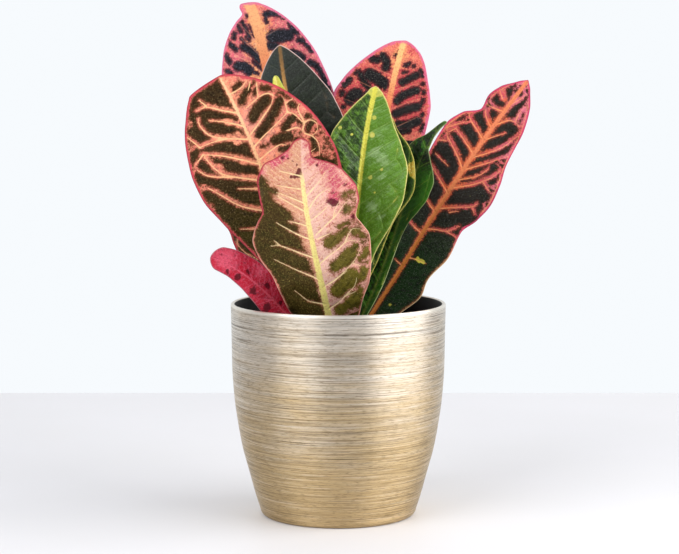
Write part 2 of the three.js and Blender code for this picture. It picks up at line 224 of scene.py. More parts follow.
def closed_tube(rings, sides):
    """Faces of a tube of rings that ends in two centres, which are its last two points."""
    count = rings * sides
    return [tube_faces(rings, sides), cap_faces(0, sides, count, True),
            cap_faces(count - sides, sides, count + 1, False)]


def turned(profile, sides):
    """Points and faces of a profile of (radius, height) turned about the upright axis. Its first and last
    points lie on the axis and become one point each."""
    rings = profile[1:-1]
    angle = np.linspace(0, 2 * math.pi, sides, endpoint=False)
    points = np.stack([rings[:, :1] * np.cos(angle), rings[:, :1] * np.sin(angle),
                       np.repeat(rings[:, 1:], sides, 1)], -1).reshape(-1, 3)
    poles = [[0, 0, profile[0, 1]], [0, 0, profile[-1, 1]]]
    return np.concatenate([points, poles]), closed_tube(len(rings), sides)


def new_material(name):
    return Finish(bpy.data.materials.new(name))


def brushed_gold():
    """Gold with hair-fine rings. Noise stretched round the pot gives soft bands of silver and of brown,
    fine light and dark rings, and a few thin scratches. The neck is more silver, and the lining is black
    paint."""
    metal = new_material("brushed_gold")
    place = metal.place()
    height = metal.parts(place)[2]
    lining = metal.node("ShaderNodeAttribute", {"attribute_name": "lining"}, output="Fac")
    bands = metal.noise(metal.stretched(place, (14, 14, 420)), 1.0, 3.0, 0.6)
    rings = metal.noise(metal.stretched(place, (22, 22, 2300)), 1.0, 3.0, 0.7)
    hairs = metal.noise(metal.stretched(place, (24, 24, 2900)), 1.0, 2.0, 0.6)
    grain = metal.noise(metal.stretched(place, (260, 260, 2200)), 1.0, 2.0, 0.6)
    patina = metal.noise(metal.stretched(place, (24, 24, 40)), 1.0, 3.0, 0.6)
    worn = (bands * 0.35 + patina * 0.4 + height * 4.2 - 0.27).rise(0.20, 0.72)
    at_scratch = abs(height - NECK_SCRATCH_HEIGHT * MM).rise(0.7 * MM, 0.2 * MM)
    neck_scratch = at_scratch * patina.rise(0.42, 0.56)
    colour = metal.blend(paint(GOLD), paint(PALE_SILVER), worn * 0.85)
    colour = metal.blend(colour, paint(BROWN_GOLD), rings.rise(0.46, 0.66) * 0.6)
    colour = metal.blend(colour, paint(LIP_SILVER), rings.rise(0.46, 0.34) * 0.35)
    colour = metal.blend(colour, paint(SCRATCH_BROWN), hairs.rise(0.58, 0.68) * 0.6)
    colour = metal.blend(colour, paint(BROWN_GOLD), grain.rise(0.5, 0.72) * 0.5)
    colour = metal.blend(colour, paint(SCRATCH_BROWN), neck_scratch * 0.6)
    lip_shine = height.rise(LIP_SHINE_HEIGHTS[0] * MM, LIP_SHINE_HEIGHTS[1] * MM)
    colour = metal.blend(colour, paint(LIP_SILVER), lip_shine * 0.8)
    colour = metal.blend(colour, paint(LINING_BLACK), lining)
    metal.surface(
        Base_Color=colour,
        Metallic=1 - lining,
        Roughness=0.37 + rings * 0.14 + lining * 0.2,
        Anisotropic=0.8,
        Anisotropic_Rotation=0.25,
        Normal=metal.bump(rings - hairs * 0.5, 0.10, 0.0003))
    return metal.owner


side_heights = np.linspace(POT_SIDE[0][0], POT_SIDE[-1][0], POT_RINGS)
side = np.stack([through(POT_SIDE, side_heights), side_heights], 1)
outer_corner = arc((POT_FOOT_RADIUS, POT_FOOT_ROUND), POT_FOOT_ROUND, -90, -8, 8)
lip = arc((POT_RIM_RADIUS - POT_LIP_ROUND, POT_HEIGHT - POT_LIP_ROUND), POT_LIP_ROUND, 12, 168, 12)
inner_wall = side[side[:, 1] > POT_LINING_FOOT][::-1] - [POT_WALL, 0]
corner_centre = (inner_wall[-1, 0] - POT_FLOOR_ROUND, POT_FLOOR + POT_FLOOR_ROUND)
inner_corner = arc(corner_centre, POT_FLOOR_ROUND, -20, -90, 6)
underside = np.stack([np.linspace(0, POT_FOOT_RADIUS, 10)[:-1], np.zeros(9)], 1)
pot_floor = np.stack([np.linspace(inner_corner[-1, 0], 0, 12)[1:], np.full(11, POT_FLOOR)], 1)
profile = np.concatenate([underside, outer_corner, side, lip, inner_wall, inner_corner, pot_floor])
points, faces = turned(profile, POT_SIDES)

# The lining takes the lip's last two rings and all beyond them. The underside's first point is no ring.
outside_rings = len(underside) - 1 + len(outer_corner) + len(side) + len(lip) - 2
lining = np.zeros(len(points))
lining[outside_rings * POT_SIDES:-2] = 1
lining[-1] = 1
pot = new_mesh("cover_pot", points, faces, brushed_gold(), {"lining": lining})
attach(pot, "root")
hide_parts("pot")

# Grower's pot. One thin black polypropylene moulding, tapered, with a turned-down rim and six drain holes
# in its floor. It stands loose on the cover pot's floor.
GROWER_BOTTOM = 3.3
GROWER_HEIGHT = 88.0
GROWER_TOP = GROWER_BOTTOM + GROWER_HEIGHT
GROWER_FOOT_RADIUS = 38.0
GROWER_TOP_RADIUS = 49.0
GROWER_WALL = 1.4
GROWER_RIM_RADIUS = 52.0
GROWER_RIM_DEPTH = 7.0
GROWER_RIM_LIP = 2.0
GROWER_FOOT_EDGE = 1.0
GROWER_TOP_EDGE = 0.9
GROWER_MOUTH_EDGE = 0.8
GROWER_RIM_EDGE = 0.4
GROWER_FINE_EDGE = 0.3
GROWER_SIDES = 144
DRAIN_HOLES = 6
DRAIN_HOLE_RADIUS = 4.0
DRAIN_RING_RADIUS = 26.0
DRAIN_ROD_FOOT = 1.5


def grower_radius(height):
    """The outside's radius, which grows evenly from the foot to the top."""
    grown = (height - GROWER_BOTTOM) / GROWER_HEIGHT
    return GROWER_FOOT_RADIUS + (GROWER_TOP_RADIUS - GROWER_FOOT_RADIUS) * grown


def black_plastic():
    """Dull black with grey scuffs where noise is high."""
    plastic = new_material("black_plastic")
    place = plastic.place()
    scuffs = plastic.noise(plastic.stretched(place, (60, 60, 340)), 1.0, 4.0, 0.65)
    grain = plastic.noise(place, 1800.0, 1.0)
    plastic.surface(
        Base_Color=plastic.blend(paint("#131313"), paint("#2b2a28"), scuffs.rise(0.5, 0.8)),
        Roughness=0.42 + scuffs * 0.2,
        Normal=plastic.bump(grain, 0.1, 0.0002))
    return plastic.owner


rim_bottom = GROWER_TOP - GROWER_RIM_DEPTH
rim_hem = rim_bottom - GROWER_RIM_LIP
rim_inside = GROWER_RIM_RADIUS - GROWER_WALL
mouth = GROWER_TOP_RADIUS - GROWER_WALL
floor_top = GROWER_BOTTOM + GROWER_WALL
profile = np.array([
    (0, GROWER_BOTTOM), (GROWER_FOOT_RADIUS - GROWER_FOOT_EDGE, GROWER_BOTTOM),
    (GROWER_FOOT_RADIUS, GROWER_BOTTOM + GROWER_FOOT_EDGE),
    (grower_radius(rim_bottom) - 0.05, rim_bottom - GROWER_RIM_EDGE),
    (grower_radius(rim_bottom) + GROWER_RIM_EDGE, rim_bottom),
    (rim_inside - GROWER_FINE_EDGE, rim_bottom), (rim_inside, rim_bottom - GROWER_FINE_EDGE),
    (rim_inside, rim_hem), (GROWER_RIM_RADIUS - GROWER_RIM_EDGE, rim_hem),
    (GROWER_RIM_RADIUS, rim_hem + GROWER_RIM_EDGE), (GROWER_RIM_RADIUS, GROWER_TOP - GROWER_TOP_EDGE),
    (GROWER_RIM_RADIUS - GROWER_FINE_EDGE, GROWER_TOP - GROWER_FINE_EDGE),
    (GROWER_RIM_RADIUS - GROWER_TOP_EDGE, GROWER_TOP), (mouth + GROWER_MOUTH_EDGE, GROWER_TOP),
    (mouth, GROWER_TOP - GROWER_MOUTH_EDGE), (grower_radius(floor_top) - GROWER_WALL, floor_top),
    (0, floor_top)])
points, faces = turned(profile, GROWER_SIDES)
grower_pot = new_mesh("growers_pot", points, faces, black_plastic())

# Six short rods, each standing through the floor where a hole goes, are cut out of it.
rod_height = 4 * GROWER_WALL
rod, rod_faces = turned(np.array([(0, 0), (DRAIN_HOLE_RADIUS, 0), (DRAIN_HOLE_RADIUS, rod_height),
                                  (0, rod_height)]), 32)
rod_angles = np.linspace(0, 2 * math.pi, DRAIN_HOLES, endpoint=False)
rod_feet = np.stack([DRAIN_RING_RADIUS * np.cos(rod_angles), DRAIN_RING_RADIUS * np.sin(rod_angles),
                     np.full(DRAIN_HOLES, DRAIN_ROD_FOOT)], 1)
rods = (rod[None] + rod_feet[:, None]).reshape(-1, 3)
rod_starts = len(rod) * np.arange(DRAIN_HOLES)
rod_faces = [(group[None] + rod_starts[:, None, None]).reshape(-1, group.shape[1]) for group in rod_faces]
drills = new_mesh("drills", rods, rod_faces, grower_pot.data.materials[0])
cut = grower_pot.modifiers.new("drain_holes", "BOOLEAN")
cut.operation = "DIFFERENCE"
cut.solver = "EXACT"
cut.object = drills
drilled = bpy.data.meshes.new_from_object(grower_pot.evaluated_get(bpy.context.evaluated_depsgraph_get()))
grower_pot.modifiers.clear()
grower_pot.data = drilled
bpy.data.objects.remove(drills)
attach(grower_pot, "root")
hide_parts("grower_pot")

# Potting soil. Peat and bark fines, pressed in to 8 mm under the grower's pot's rim, dark and damp, with
# crumbs of peat and bark lying loose on top. The stem stands in a hole in it.
SOIL_TOP = 83.0
SOIL_SWELL = 0.96
SOIL_CLOD = 0.5
SOIL_FINES = 0.18
SOIL_GAP = 0.3
SOIL_BOTTOM = GROWER_BOTTOM + GROWER_WALL + SOIL_GAP
STEM_ROOT = 60.0
STEM_RADIUS = 4.2
STEM_HOLE_GAP = 1.1
STEM_HOLE_RADIUS = STEM_RADIUS + STEM_HOLE_GAP
SOIL_RINGS = 96
SOIL_SIDES = 200
SOIL_EDGE_FADE = 4.0
SOIL_HOLE_FADE = 3.0
CRUMBS = 420
CRUMB_SIZES = (0.5, 1.5)


def soil_surface(x, y):
    """Height of the soil's top: two crossed long waves, and finer ones for its clods, which all die away
    at the pot's wall and round the stem."""
    radius = np.hypot(x, y)
    fade = np.clip((soil_edge - radius) / SOIL_EDGE_FADE, 0, 1)
    fade *= np.clip((radius - STEM_HOLE_RADIUS) / SOIL_HOLE_FADE, 0, 1)
    swell = np.sin(0.31 * x + 1.3) * np.cos(0.27 * y) + 0.6 * np.sin(0.53 * y - 0.2 * x + 0.4)
    clods = np.sin(1.1 * x + 2.0 * np.sin(0.7 * y)) * np.sin(1.3 * y + 1.7 * np.sin(0.9 * x + 1.0))
    fines = np.sin(2.9 * x + 1.3 * np.sin(2.1 * y)) * np.sin(3.1 * y + 0.8)
    return SOIL_TOP + fade * (SOIL_SWELL * swell + SOIL_CLOD * clods + SOIL_FINES * fines)


def damp_peat():
    """Brown-black peat with paler fibres and bark, from noise at two scales."""
    peat = new_material("damp_peat")
    place = peat.place()
    grains = peat.noise(place, 900.0, 5.0, 0.7)
    patches = peat.noise(place, 160.0, 3.0, 0.6)
    colour = peat.blend(paint("#1c130c"), paint("#4a3524"), grains.rise(0.42, 0.72))
    colour = peat.blend(colour, paint("#6f563c"), (patches * grains).rise(0.33, 0.46) * 0.7)
    peat.surface(
        Base_Color=colour,
        Roughness=0.92 - grains * 0.2,
        Normal=peat.bump(grains + patches * 0.5, 0.7, 0.0012))
    return peat.owner


soil_edge = grower_radius(SOIL_TOP) - GROWER_WALL - SOIL_GAP
wall_heights = np.linspace(SOIL_BOTTOM, SOIL_TOP - 1, 12)
wall = np.stack([grower_radius(wall_heights) - GROWER_WALL - SOIL_GAP, wall_heights], 1)
top_radii = np.linspace(soil_edge - 0.6, STEM_HOLE_RADIUS, SOIL_RINGS)
top = np.stack([top_radii, np.full(SOIL_RINGS, SOIL_TOP)], 1)
hole = np.array([(STEM_HOLE_RADIUS, SOIL_TOP - 2), (STEM_HOLE_RADIUS, STEM_ROOT - SOIL_GAP),
                 (0, STEM_ROOT - SOIL_GAP)])
profile = np.concatenate([[(0, SOIL_BOTTOM)], wall, top, hole])
points, faces = turned(profile, SOIL_SIDES)
on_top = np.abs(points[:, 2] - SOIL_TOP) < 0.01
points[on_top, 2] = soil_surface(points[on_top, 0], points[on_top, 1])
peat = damp_peat()
soil = new_mesh("potting_soil", points, faces, peat)
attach(soil, "root")
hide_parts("soil")

# Each crumb is a squashed octahedron, turned and sized at random, and sunk by about a third.
chance = np.random.default_rng(11)
crumb_corners = np.array([(1, 0, 0), (0, 1, 0), (-1, 0, 0), (0, -1, 0), (0, 0, 1), (0, 0, -1)], float)
crumb_faces = np.array([(0, 1, 4), (1, 2, 4), (2, 3, 4), (3, 0, 4),
                        (1, 0, 5), (2, 1, 5), (3, 2, 5), (0, 3, 5)])
radius = np.sqrt(chance.uniform((STEM_HOLE_RADIUS + 2) ** 2, (soil_edge - 2.5) ** 2, CRUMBS))
angle = chance.uniform(0, 2 * math.pi, CRUMBS)
size = chance.uniform(*CRUMB_SIZES, (CRUMBS, 1)) * chance.uniform(0.6, 1.3, (CRUMBS, 3)) * [1, 1, 0.7]
spin = chance.uniform(0, 2 * math.pi, CRUMBS)
corners = crumb_corners[None] * size[:, None] * chance.uniform(0.75, 1.25, (CRUMBS, 6, 1))
x, y = radius * np.cos(angle), radius * np.sin(angle)
points = np.stack([
    x[:, None] + corners[..., 0] * np.cos(spin)[:, None] - corners[..., 1] * np.sin(spin)[:, None],
    y[:, None] + corners[..., 0] * np.sin(spin)[:, None] + corners[..., 1] * np.cos(spin)[:, None],
    soil_surface(x, y)[:, None] + corners[..., 2] + 0.3 * size[:, 2:]], -1).reshape(-1, 3)
faces = (crumb_faces[None] + 6 * np.arange(CRUMBS)[:, None, None]).reshape(-1, 3)
crumbs = new_mesh("soil_crumbs", points, [faces], peat)
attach(crumbs, "root")

# Stem. A short young woody stem as thick as a pencil, grey-brown below and greener above, ringed with the
# scars of fallen leaves. It grows out of the soil and carries every leaf.
STEM_TOP = 112.4
STEM_TAPER = 1 / 30
STEM_NODE_RIDGE = 0.18
STEM_NODE_SPACING = 5.5
STEM_CROWN = 0.9
STEM_SWELL = 0.02
STEM_SIDES = 48


def stem_radius(height):
    return STEM_RADIUS - (height - SOIL_TOP) * STEM_TAPER


def bark():
    """Grey-brown bark with a net of fine cracks, greener towards the top."""
    skin = new_material("bark")
    place = skin.place()
    height = skin.parts(place)[2]
    cracks = skin.noise(skin.stretched(place, (700, 700, 160)), 1.0, 4.0, 0.65)
    colour = skin.blend(paint("#6d5a45"), paint("#6c7a3c"), height.rise(0.086, 0.108))
    colour = skin.blend(colour, paint("#3b2f22"), cracks.rise(0.5, 0.72) * 0.8)
    skin.surface(Base_Color=colour, Roughness=0.75, Normal=skin.bump(cracks, 0.5, 0.0006))
    return skin.owner


heights = np.linspace(STEM_ROOT, STEM_TOP - 0.6, 120)
turn = 2 * math.pi * (heights - STEM_ROOT) / STEM_NODE_SPACING
ridged = stem_radius(heights) - STEM_NODE_RIDGE + STEM_NODE_RIDGE * np.sin(turn)
crown = arc((ridged[-1] - STEM_CROWN, STEM_TOP - STEM_CROWN), STEM_CROWN, 15, 90, 6)
profile = np.concatenate([[(0, STEM_ROOT)], np.stack([ridged, heights], 1), crown, [(0, STEM_TOP)]])
points, faces = turned(profile, STEM_SIDES)
around = np.arctan2(points[:, 1], points[:, 0])
swell = 1 + STEM_SWELL * np.sin(3 * around + 0.12 * points[:, 2])
points[:, :2] *= swell[:, None]
stem = new_mesh("woody_stem", points, faces, bark())
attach(stem, "root")
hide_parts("stem")

# Pink leaves. The broad front leaf, marbled peach and pink with olive between its veins, and a small
# crimson one at its foot. Leathery blades a little over half a millimetre thick, each grown from the stem
# on a short stalk.
BLADE_THICKNESS = 0.6
STALK_THICKNESS = 2.0
STALK_HALF_WIDTH = 1.2
STALK_SHARE = 0.12
FOOT_GAP = 0.35
HEEL_ROWS = 4
HEEL_DROP = 3.0
TIP_HALF_WIDTH = 0.6
TIP_ROWS = 16
TOP_CELL = 0.56
HIDDEN_CELL = 1.1
MARGIN_CROWDING = 0.45
UNDER_COLUMNS_SHARE = 3
RIB_WIDTH = 1.5
RIB_TAPER = 0.9
RIB_ABOVE = 0.22
RIB_BELOW = 0.8
PUFF_SPREAD = 3.0
GROOVE_DEPTH = 0.12
GROOVE_WIDTH = 0.7
FORK_REACH = 0.6
LINE_WIDTH = 0.62
LINE_TAPER = 0.4
LINE_GUARD = 0.45
UNDER_GUARD = 1.8
TIP_LEAN = 0.3
TIP_LEAN_FROM = 4.0
NOISE_STRIDE = 37.0
FAR = 99.0
TINY = 1e-9


def unit(vectors):
    return vectors / np.linalg.norm(vectors, axis=-1, keepdims=True)


def foot_point(azimuth, height, inset=0.0):
    """The stalk's foot: clear of the bark by the foot gap and by half the stalk, less its inset."""
    a = math.radians(azimuth)
    half = STALK_HALF_WIDTH * abs(math.cos(a)) + STALK_THICKNESS / 2 * abs(math.sin(a))
    radius = stem_radius(height) + FOOT_GAP + half - inset
    return (radius * math.cos(a), radius * math.sin(a), height)


def midrib(leaf, v):
    """Points and directions of the cubic through the foot and the rib's three points at equal steps."""
    foot = leaf["base"] if "base" in leaf else foot_point(*leaf["foot"])
    knots = np.array([foot, *leaf["rib"]], float)
    first = (-5 * knots[0] + 18 * knots[1] - 9 * knots[2] + 2 * knots[3]) / 6
    second = (2 * knots[0] - 9 * knots[1] + 18 * knots[2] - 5 * knots[3]) / 6
    t = v[:, None]
    s = 1 - t
    at = knots[0] * s ** 3 + 3 * first * s * s * t + 3 * second * s * t * t + knots[3] * t ** 3
    along = (first - knots[0]) * s * s + 2 * (second - first) * s * t + (knots[3] - second) * t * t
    return at, unit(along)


def half_widths(leaf, v):
    """The outline's half widths left and right, from the stalk's at the foot, rounded off as a circle past
    round_from."""
    past = np.clip((v - leaf["round_from"]) / (1 - leaf["round_from"]), 0, 1)
    rows = ((0, STALK_HALF_WIDTH, STALK_HALF_WIDTH), *leaf["outline"])
    widths = [through([(row[0], row[side]) for row in rows], v) for side in (1, 2)]
    return [np.maximum(TIP_HALF_WIDTH, width * np.sqrt(1 - past ** 2)) for width in widths]


def rounded_path(points):
    """A line of straight pieces with its corners cut off twice, at a quarter of each piece."""
    path = np.array(points, float)
    for _ in range(2):
        cut = np.stack([0.75 * path[:-1] + 0.25 * path[1:], 0.25 * path[:-1] + 0.75 * path[1:]], 1)
        path = np.concatenate([path[:1], cut.reshape(-1, 2)[1:-1], path[-1:]])
    return path


def gap_to(path, x, y):
    """Millimetres from points to a line of straight pieces, the share of the line where it is nearest, and
    the side: each point is dropped square onto each piece, the nearest foot counts, and the side is the
    sign of the cross product of the piece and the way to the point."""
    start = path[:-1]
    step = np.diff(path, axis=0)
    across = x[..., None] - start[:, 0]
    along = y[..., None] - start[:, 1]
    squared = np.maximum((step ** 2).sum(1), TINY)
    share = np.clip((across * step[:, 0] + along * step[:, 1]) / squared, 0, 1)
    gap = np.hypot(across - share * step[:, 0], along - share * step[:, 1])
    side = np.sign(step[:, 0] * along - step[:, 1] * across)
    nearest = gap.argmin(-1)[..., None]
    share = (share + np.arange(len(start))) / len(start)
    return [np.take_along_axis(part, nearest, -1)[..., 0] for part in (gap, share, side)]


def rounded_least(first, second, round_over):
    """The lesser of two, with the corner where they cross rounded off."""
    near = np.clip(1 - np.abs(first - second) / round_over, 0, 1)
    return np.minimum(first, second) - near ** 2 * round_over / 4


def drawn_path(route, reached):
    """A drawn route of (share of the midrib, millimetres across), in millimetres and rounded."""
    return rounded_path([(across, reached(share)) for share, across in route])


def ruled_veins(leaf, reached, width_at, chance):
    """Lateral veins by a rule, as (path, half width of its band at the start, at the end). A vein leaves
    the midrib at its share, climbs by its slope and bends up a little. Where it reaches far enough out it
    forks, and the branches of neighbours arch together."""
    paths = []
    inner, outer = leaf["band"]
    for side, laterals in zip((-1, 1), leaf["laterals"]):
        forks = []
        for share, slope, reach in laterals:
            start = reached(share)
            out = reach * width_at(side, start)
            t = np.linspace(0, 1, 8)
            bend = 0.10 * out * t * t * slope
            wander = 0.25 * np.sin(2 * math.pi * t + chance.uniform(0, 6))
            path = np.stack([side * out * t, start + slope * out * t + bend + wander * t], 1)
            broad = chance.uniform(0.75, 1.3)
            paths.append((path, inner * broad, (outer if reach >= FORK_REACH else -0.6) * broad))
            forks.append((path[-1], reach >= FORK_REACH))
        for (low, low_forks), (high, high_forks) in zip(forks, forks[1:]):
            middle = (low + high) / 2
            edge = width_at(side, min(middle[1], reached(0.97)))
            arch = np.array([side * max(abs(middle[0]) + 0.5, edge * chance.uniform(0.80, 0.9)),
                             middle[1] + chance.uniform(-0.12, 0.12) * (high[1] - low[1])])
            for tip, forked in ((low, low_forks), (high, high_forks)):
                kept = chance.uniform(0.55, 1.6)
                if not forked:
                    continue
                t = np.linspace(0, min(1, kept), 6)[:, None]
                bulge = np.array([tip[0] * 0.45 + arch[0] * 0.55, tip[1] * 0.75 + arch[1] * 0.25])
                path = tip * (1 - t) ** 2 + 2 * bulge * t * (1 - t) + arch * t * t
                paths.append((path, outer, outer * (0.8 if kept > 1 else -0.5)))
    return paths


def glows(places, x, y, reached):
    """The sum of soft round patches, each (share, across, size, strength), that fade as a Gaussian."""
    total = np.zeros(x.shape)
    for share, across, size, strength in places:
        total += strength * np.exp(-((x - across) ** 2 + (y - reached(share)) ** 2) / size ** 2)
    return total


def leaf_fields(leaf, v, x, y, reached, width_at):
    """What the blade's colours follow, in millimetres: how far a point lies inside a dark patch, its
    distance to the nearest vein, the same with a sign for the vein's side, and its distance to the margin.
    Dark patches fill what the veins' bands, the midrib's heart and the rim leave, or are drawn as blots."""
    chance = np.random.default_rng(leaf["seed"])
    dense = np.linspace(0, 1, 140)
    left, right = half_widths(leaf, dense)
    heights = reached(dense)
    outline = np.concatenate([np.stack([-left, heights], 1), np.stack([right, heights], 1)[::-1]])
    edge = gap_to(outline, x, y)[0]
    line = signed = patch = np.full(x.shape, FAR)
    veins = [(drawn_path(route, reached), *band) for band, *route in leaf["veins"]]
    veins += ruled_veins(leaf, reached, width_at, chance)
    for path, start_width, end_width in veins:
        gap, share, side = gap_to(path, x, y)
        tipward = side * np.sign(path[-1, 0] - path[0, 0]) * np.clip(np.abs(x) / TIP_LEAN_FROM, 0, 1)
        broad = (start_width + (end_width - start_width) * share) * (1 + TIP_LEAN * tipward)
        patch = rounded_least(patch, gap - broad * chance.uniform(0.85, 1.15), leaf["patch_round"])
        thin = gap + LINE_TAPER * share ** 2
        signed = np.where(thin < line, side * thin, signed)
        line = np.minimum(line, thin)
    heart = [through([(row[0], row[side]) for row in leaf["heart"]], v)[:, None] for side in (1, 2)]
    patch = rounded_least(patch, np.abs(x) - np.where(x < 0, *heart), leaf["patch_round"])
    for half, *route in leaf["blots"]:
        patch = np.maximum(patch, half - gap_to(drawn_path(route, reached), x, y)[0])
    patch = rounded_least(patch, edge - leaf["rim_band"], leaf["patch_round"])
    return patch + glows(leaf["spots"], x, y, reached), line, signed, edge


def blade_shares(leaf, cell):
    """Shares v from foot to tip, even and then closer as a sine round the tip, and shares u from margin to
    margin, drawn towards the margins and the midrib by a sine. Both are about a cell apart."""
    length = float(np.linalg.norm(np.diff(midrib(leaf, np.linspace(0, 1, 300))[0], axis=0), axis=1).sum())
    widest = max(row[1] + row[2] for row in leaf["outline"])
    tip = np.sin(np.linspace(0, math.pi / 2, TIP_ROWS + 1))[1:]
    v = np.concatenate([np.linspace(0, leaf["round_from"], int(length / cell) + 1),
                        leaf["round_from"] + (1 - leaf["round_from"]) * tip])
    even = np.linspace(0, 1, int(widest / cell / 2) + 1)
    halves = even - MARGIN_CROWDING * np.sin(2 * math.pi * even) / (2 * math.pi)
    return v, np.concatenate([-halves[:0:-1], halves])


def blade_lift(leaf, u, v, off_rib, fold, line, edge):
    """How far the middle surface stands up: the fold, a wave that grows as the square of the way to the
    margin and a quicker crimp that grows as its fourth power, and a puff between the veins with a groove
    along each of them. All but the fold die away at the foot and the tip."""
    height, waves, *phases = leaf["wave"]
    fade = np.minimum(1, 4 * v) * np.minimum(1, 5 * (1 - v))
    turn = 2 * math.pi * waves * v + np.where(u < 0, *phases)
    crimp = leaf["crimp"] * np.abs(u) ** 4 * np.sin(turn * 3.3 + 1.7 * np.sign(u) + 5 * v)
    inside = np.clip(edge / PUFF_SPREAD, 0, 1) * np.clip(off_rib / PUFF_SPREAD, 0, 1)
    puff = leaf["puff"] * (1 - np.exp(-(line / PUFF_SPREAD) ** 2))
    groove = GROOVE_DEPTH * np.exp(-(line / GROOVE_WIDTH) ** 2)
    ripple = height * u ** 2 * np.sin(turn) + crimp + (puff - groove) * inside
    return off_rib * np.sin(fold) + ripple * fade


def blade_thickness(u, v, x):
    """How far the upper and the under face stand off the middle surface: an ellipse across the stalk, which
    flattens to a thin lens across the blade, and a midrib that stands out a little above and more below."""
    past_stalk = np.clip(v / STALK_SHARE, 0, 1)
    stalk = 1 - past_stalk ** 2 * (3 - 2 * past_stalk)
    thick = (BLADE_THICKNESS + (STALK_THICKNESS - BLADE_THICKNESS) * stalk) / 2
    thick = thick * np.sqrt(1 - np.abs(u) ** (8 - 6 * stalk))
    rib = np.exp(-(x / (RIB_WIDTH - RIB_TAPER * v)) ** 2) * (1 - stalk) * (1 - v)
    return thick + RIB_ABOVE * rib, thick + RIB_BELOW * rib


def new_leaf(leaf, skin, cell=TOP_CELL):
    """The blade's shell. Its middle surface runs from foot to tip (v) and from margin to margin (u), out
    from the midrib by the half width and up by its lift. Both faces stand off it by half the thickness, and
    a short heel carries the stalk into the stem. The shell's points carry what its colours follow."""
    shares, u = blade_shares(leaf, cell)
    v = shares[:, None]
    at, along = midrib(leaf, shares)
    heights = np.concatenate([[0], np.cumsum(np.linalg.norm(np.diff(at, axis=0), axis=1))])
    left, right = half_widths(leaf, shares)
    x = u * np.where(u < 0, left[:, None], right[:, None])
    y = np.repeat(heights[:, None], len(u), 1)

    def reached(share):
        """Millimetres along the midrib at a share of it."""
        return np.interp(share, shares, heights)

    def width_at(side, height):
        """The half width on a side, at that many millimetres along the midrib."""
        return float(half_widths(leaf, np.interp([height], heights, shares))[0 if side < 0 else 1][0])

    patch, line, signed, edge = leaf_fields(leaf, shares, x, y, reached, width_at)
    fold = np.radians(np.where(u < 0, *leaf["fold"]))
    lift = blade_lift(leaf, u, v, np.abs(x), fold, line, edge)
    up = np.array(leaf["face"][0]) * (1 - v) + np.array(leaf["face"][1]) * v
    up = unit(up - (up * along).sum(1, keepdims=True) * along)
    across = np.cross(along, up)
    middle = at[:, None] + across[:, None] * (x * np.cos(fold))[..., None] + up[:, None] * lift[..., None]
    out = unit(np.cross(np.gradient(middle, axis=1), np.gradient(middle, axis=0)))
    above, below = blade_thickness(u, v, x)
    kept = np.arange(UNDER_COLUMNS_SHARE, len(u) - 1, UNDER_COLUMNS_SHARE)[::-1]
    under = (middle - out * below[..., None])[:, kept]
    ring = np.concatenate([middle + out * above[..., None], under], 1)
    heel_share = np.linspace(1, 0, HEEL_ROWS, endpoint=False)[:, None, None]
    root = at[0] * [0.5, 0.5, 1] - [0, 0, HEEL_DROP]
    ring = np.concatenate([ring[0] + heel_share * (root - at[0]), ring])
    points = np.concatenate([ring.reshape(-1, 3), ring[0].mean(0)[None], ring[-1].mean(0)[None]])

    def carried(*parts):
        """Three values for each of the shell's points, the under face's and the heel's taken from above."""
        around = [np.broadcast_to(part, x.shape) for part in parts]
        around = np.stack([np.concatenate([part, part[:, kept]], 1) for part in around], -1)
        around = np.concatenate([np.repeat(around[:1], HEEL_ROWS, 0), around])
        return np.concatenate([around.reshape(-1, 3), around[0, :1], around[-1, :1]])

    rib_shift = through(leaf["rib_colour_shift"], shares)[:, None]
    fields = {
        "flat": carried(x - rib_shift, y, NOISE_STRIDE * leaf["seed"]),
        "field": carried(patch, line, edge),
        "blade": carried(v, glows(leaf["nets"], x, y, reached), 0),
        "marks": carried(signed, glows(leaf["flushes"], x, y, reached),
                         glows(leaf["stains_and_painted_light"], x, y, reached)),
    }
    # The last of the blade's three is 1 on the under face.
    fields["blade"][:-2, 2] = np.tile(np.arange(ring.shape[1]) >= len(u), len(ring))
    piece = new_mesh(leaf["node"] + "_fine", points, closed_tube(*ring.shape[:2]), skin, fields)
    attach(piece, "root")
    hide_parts(leaf["node"])


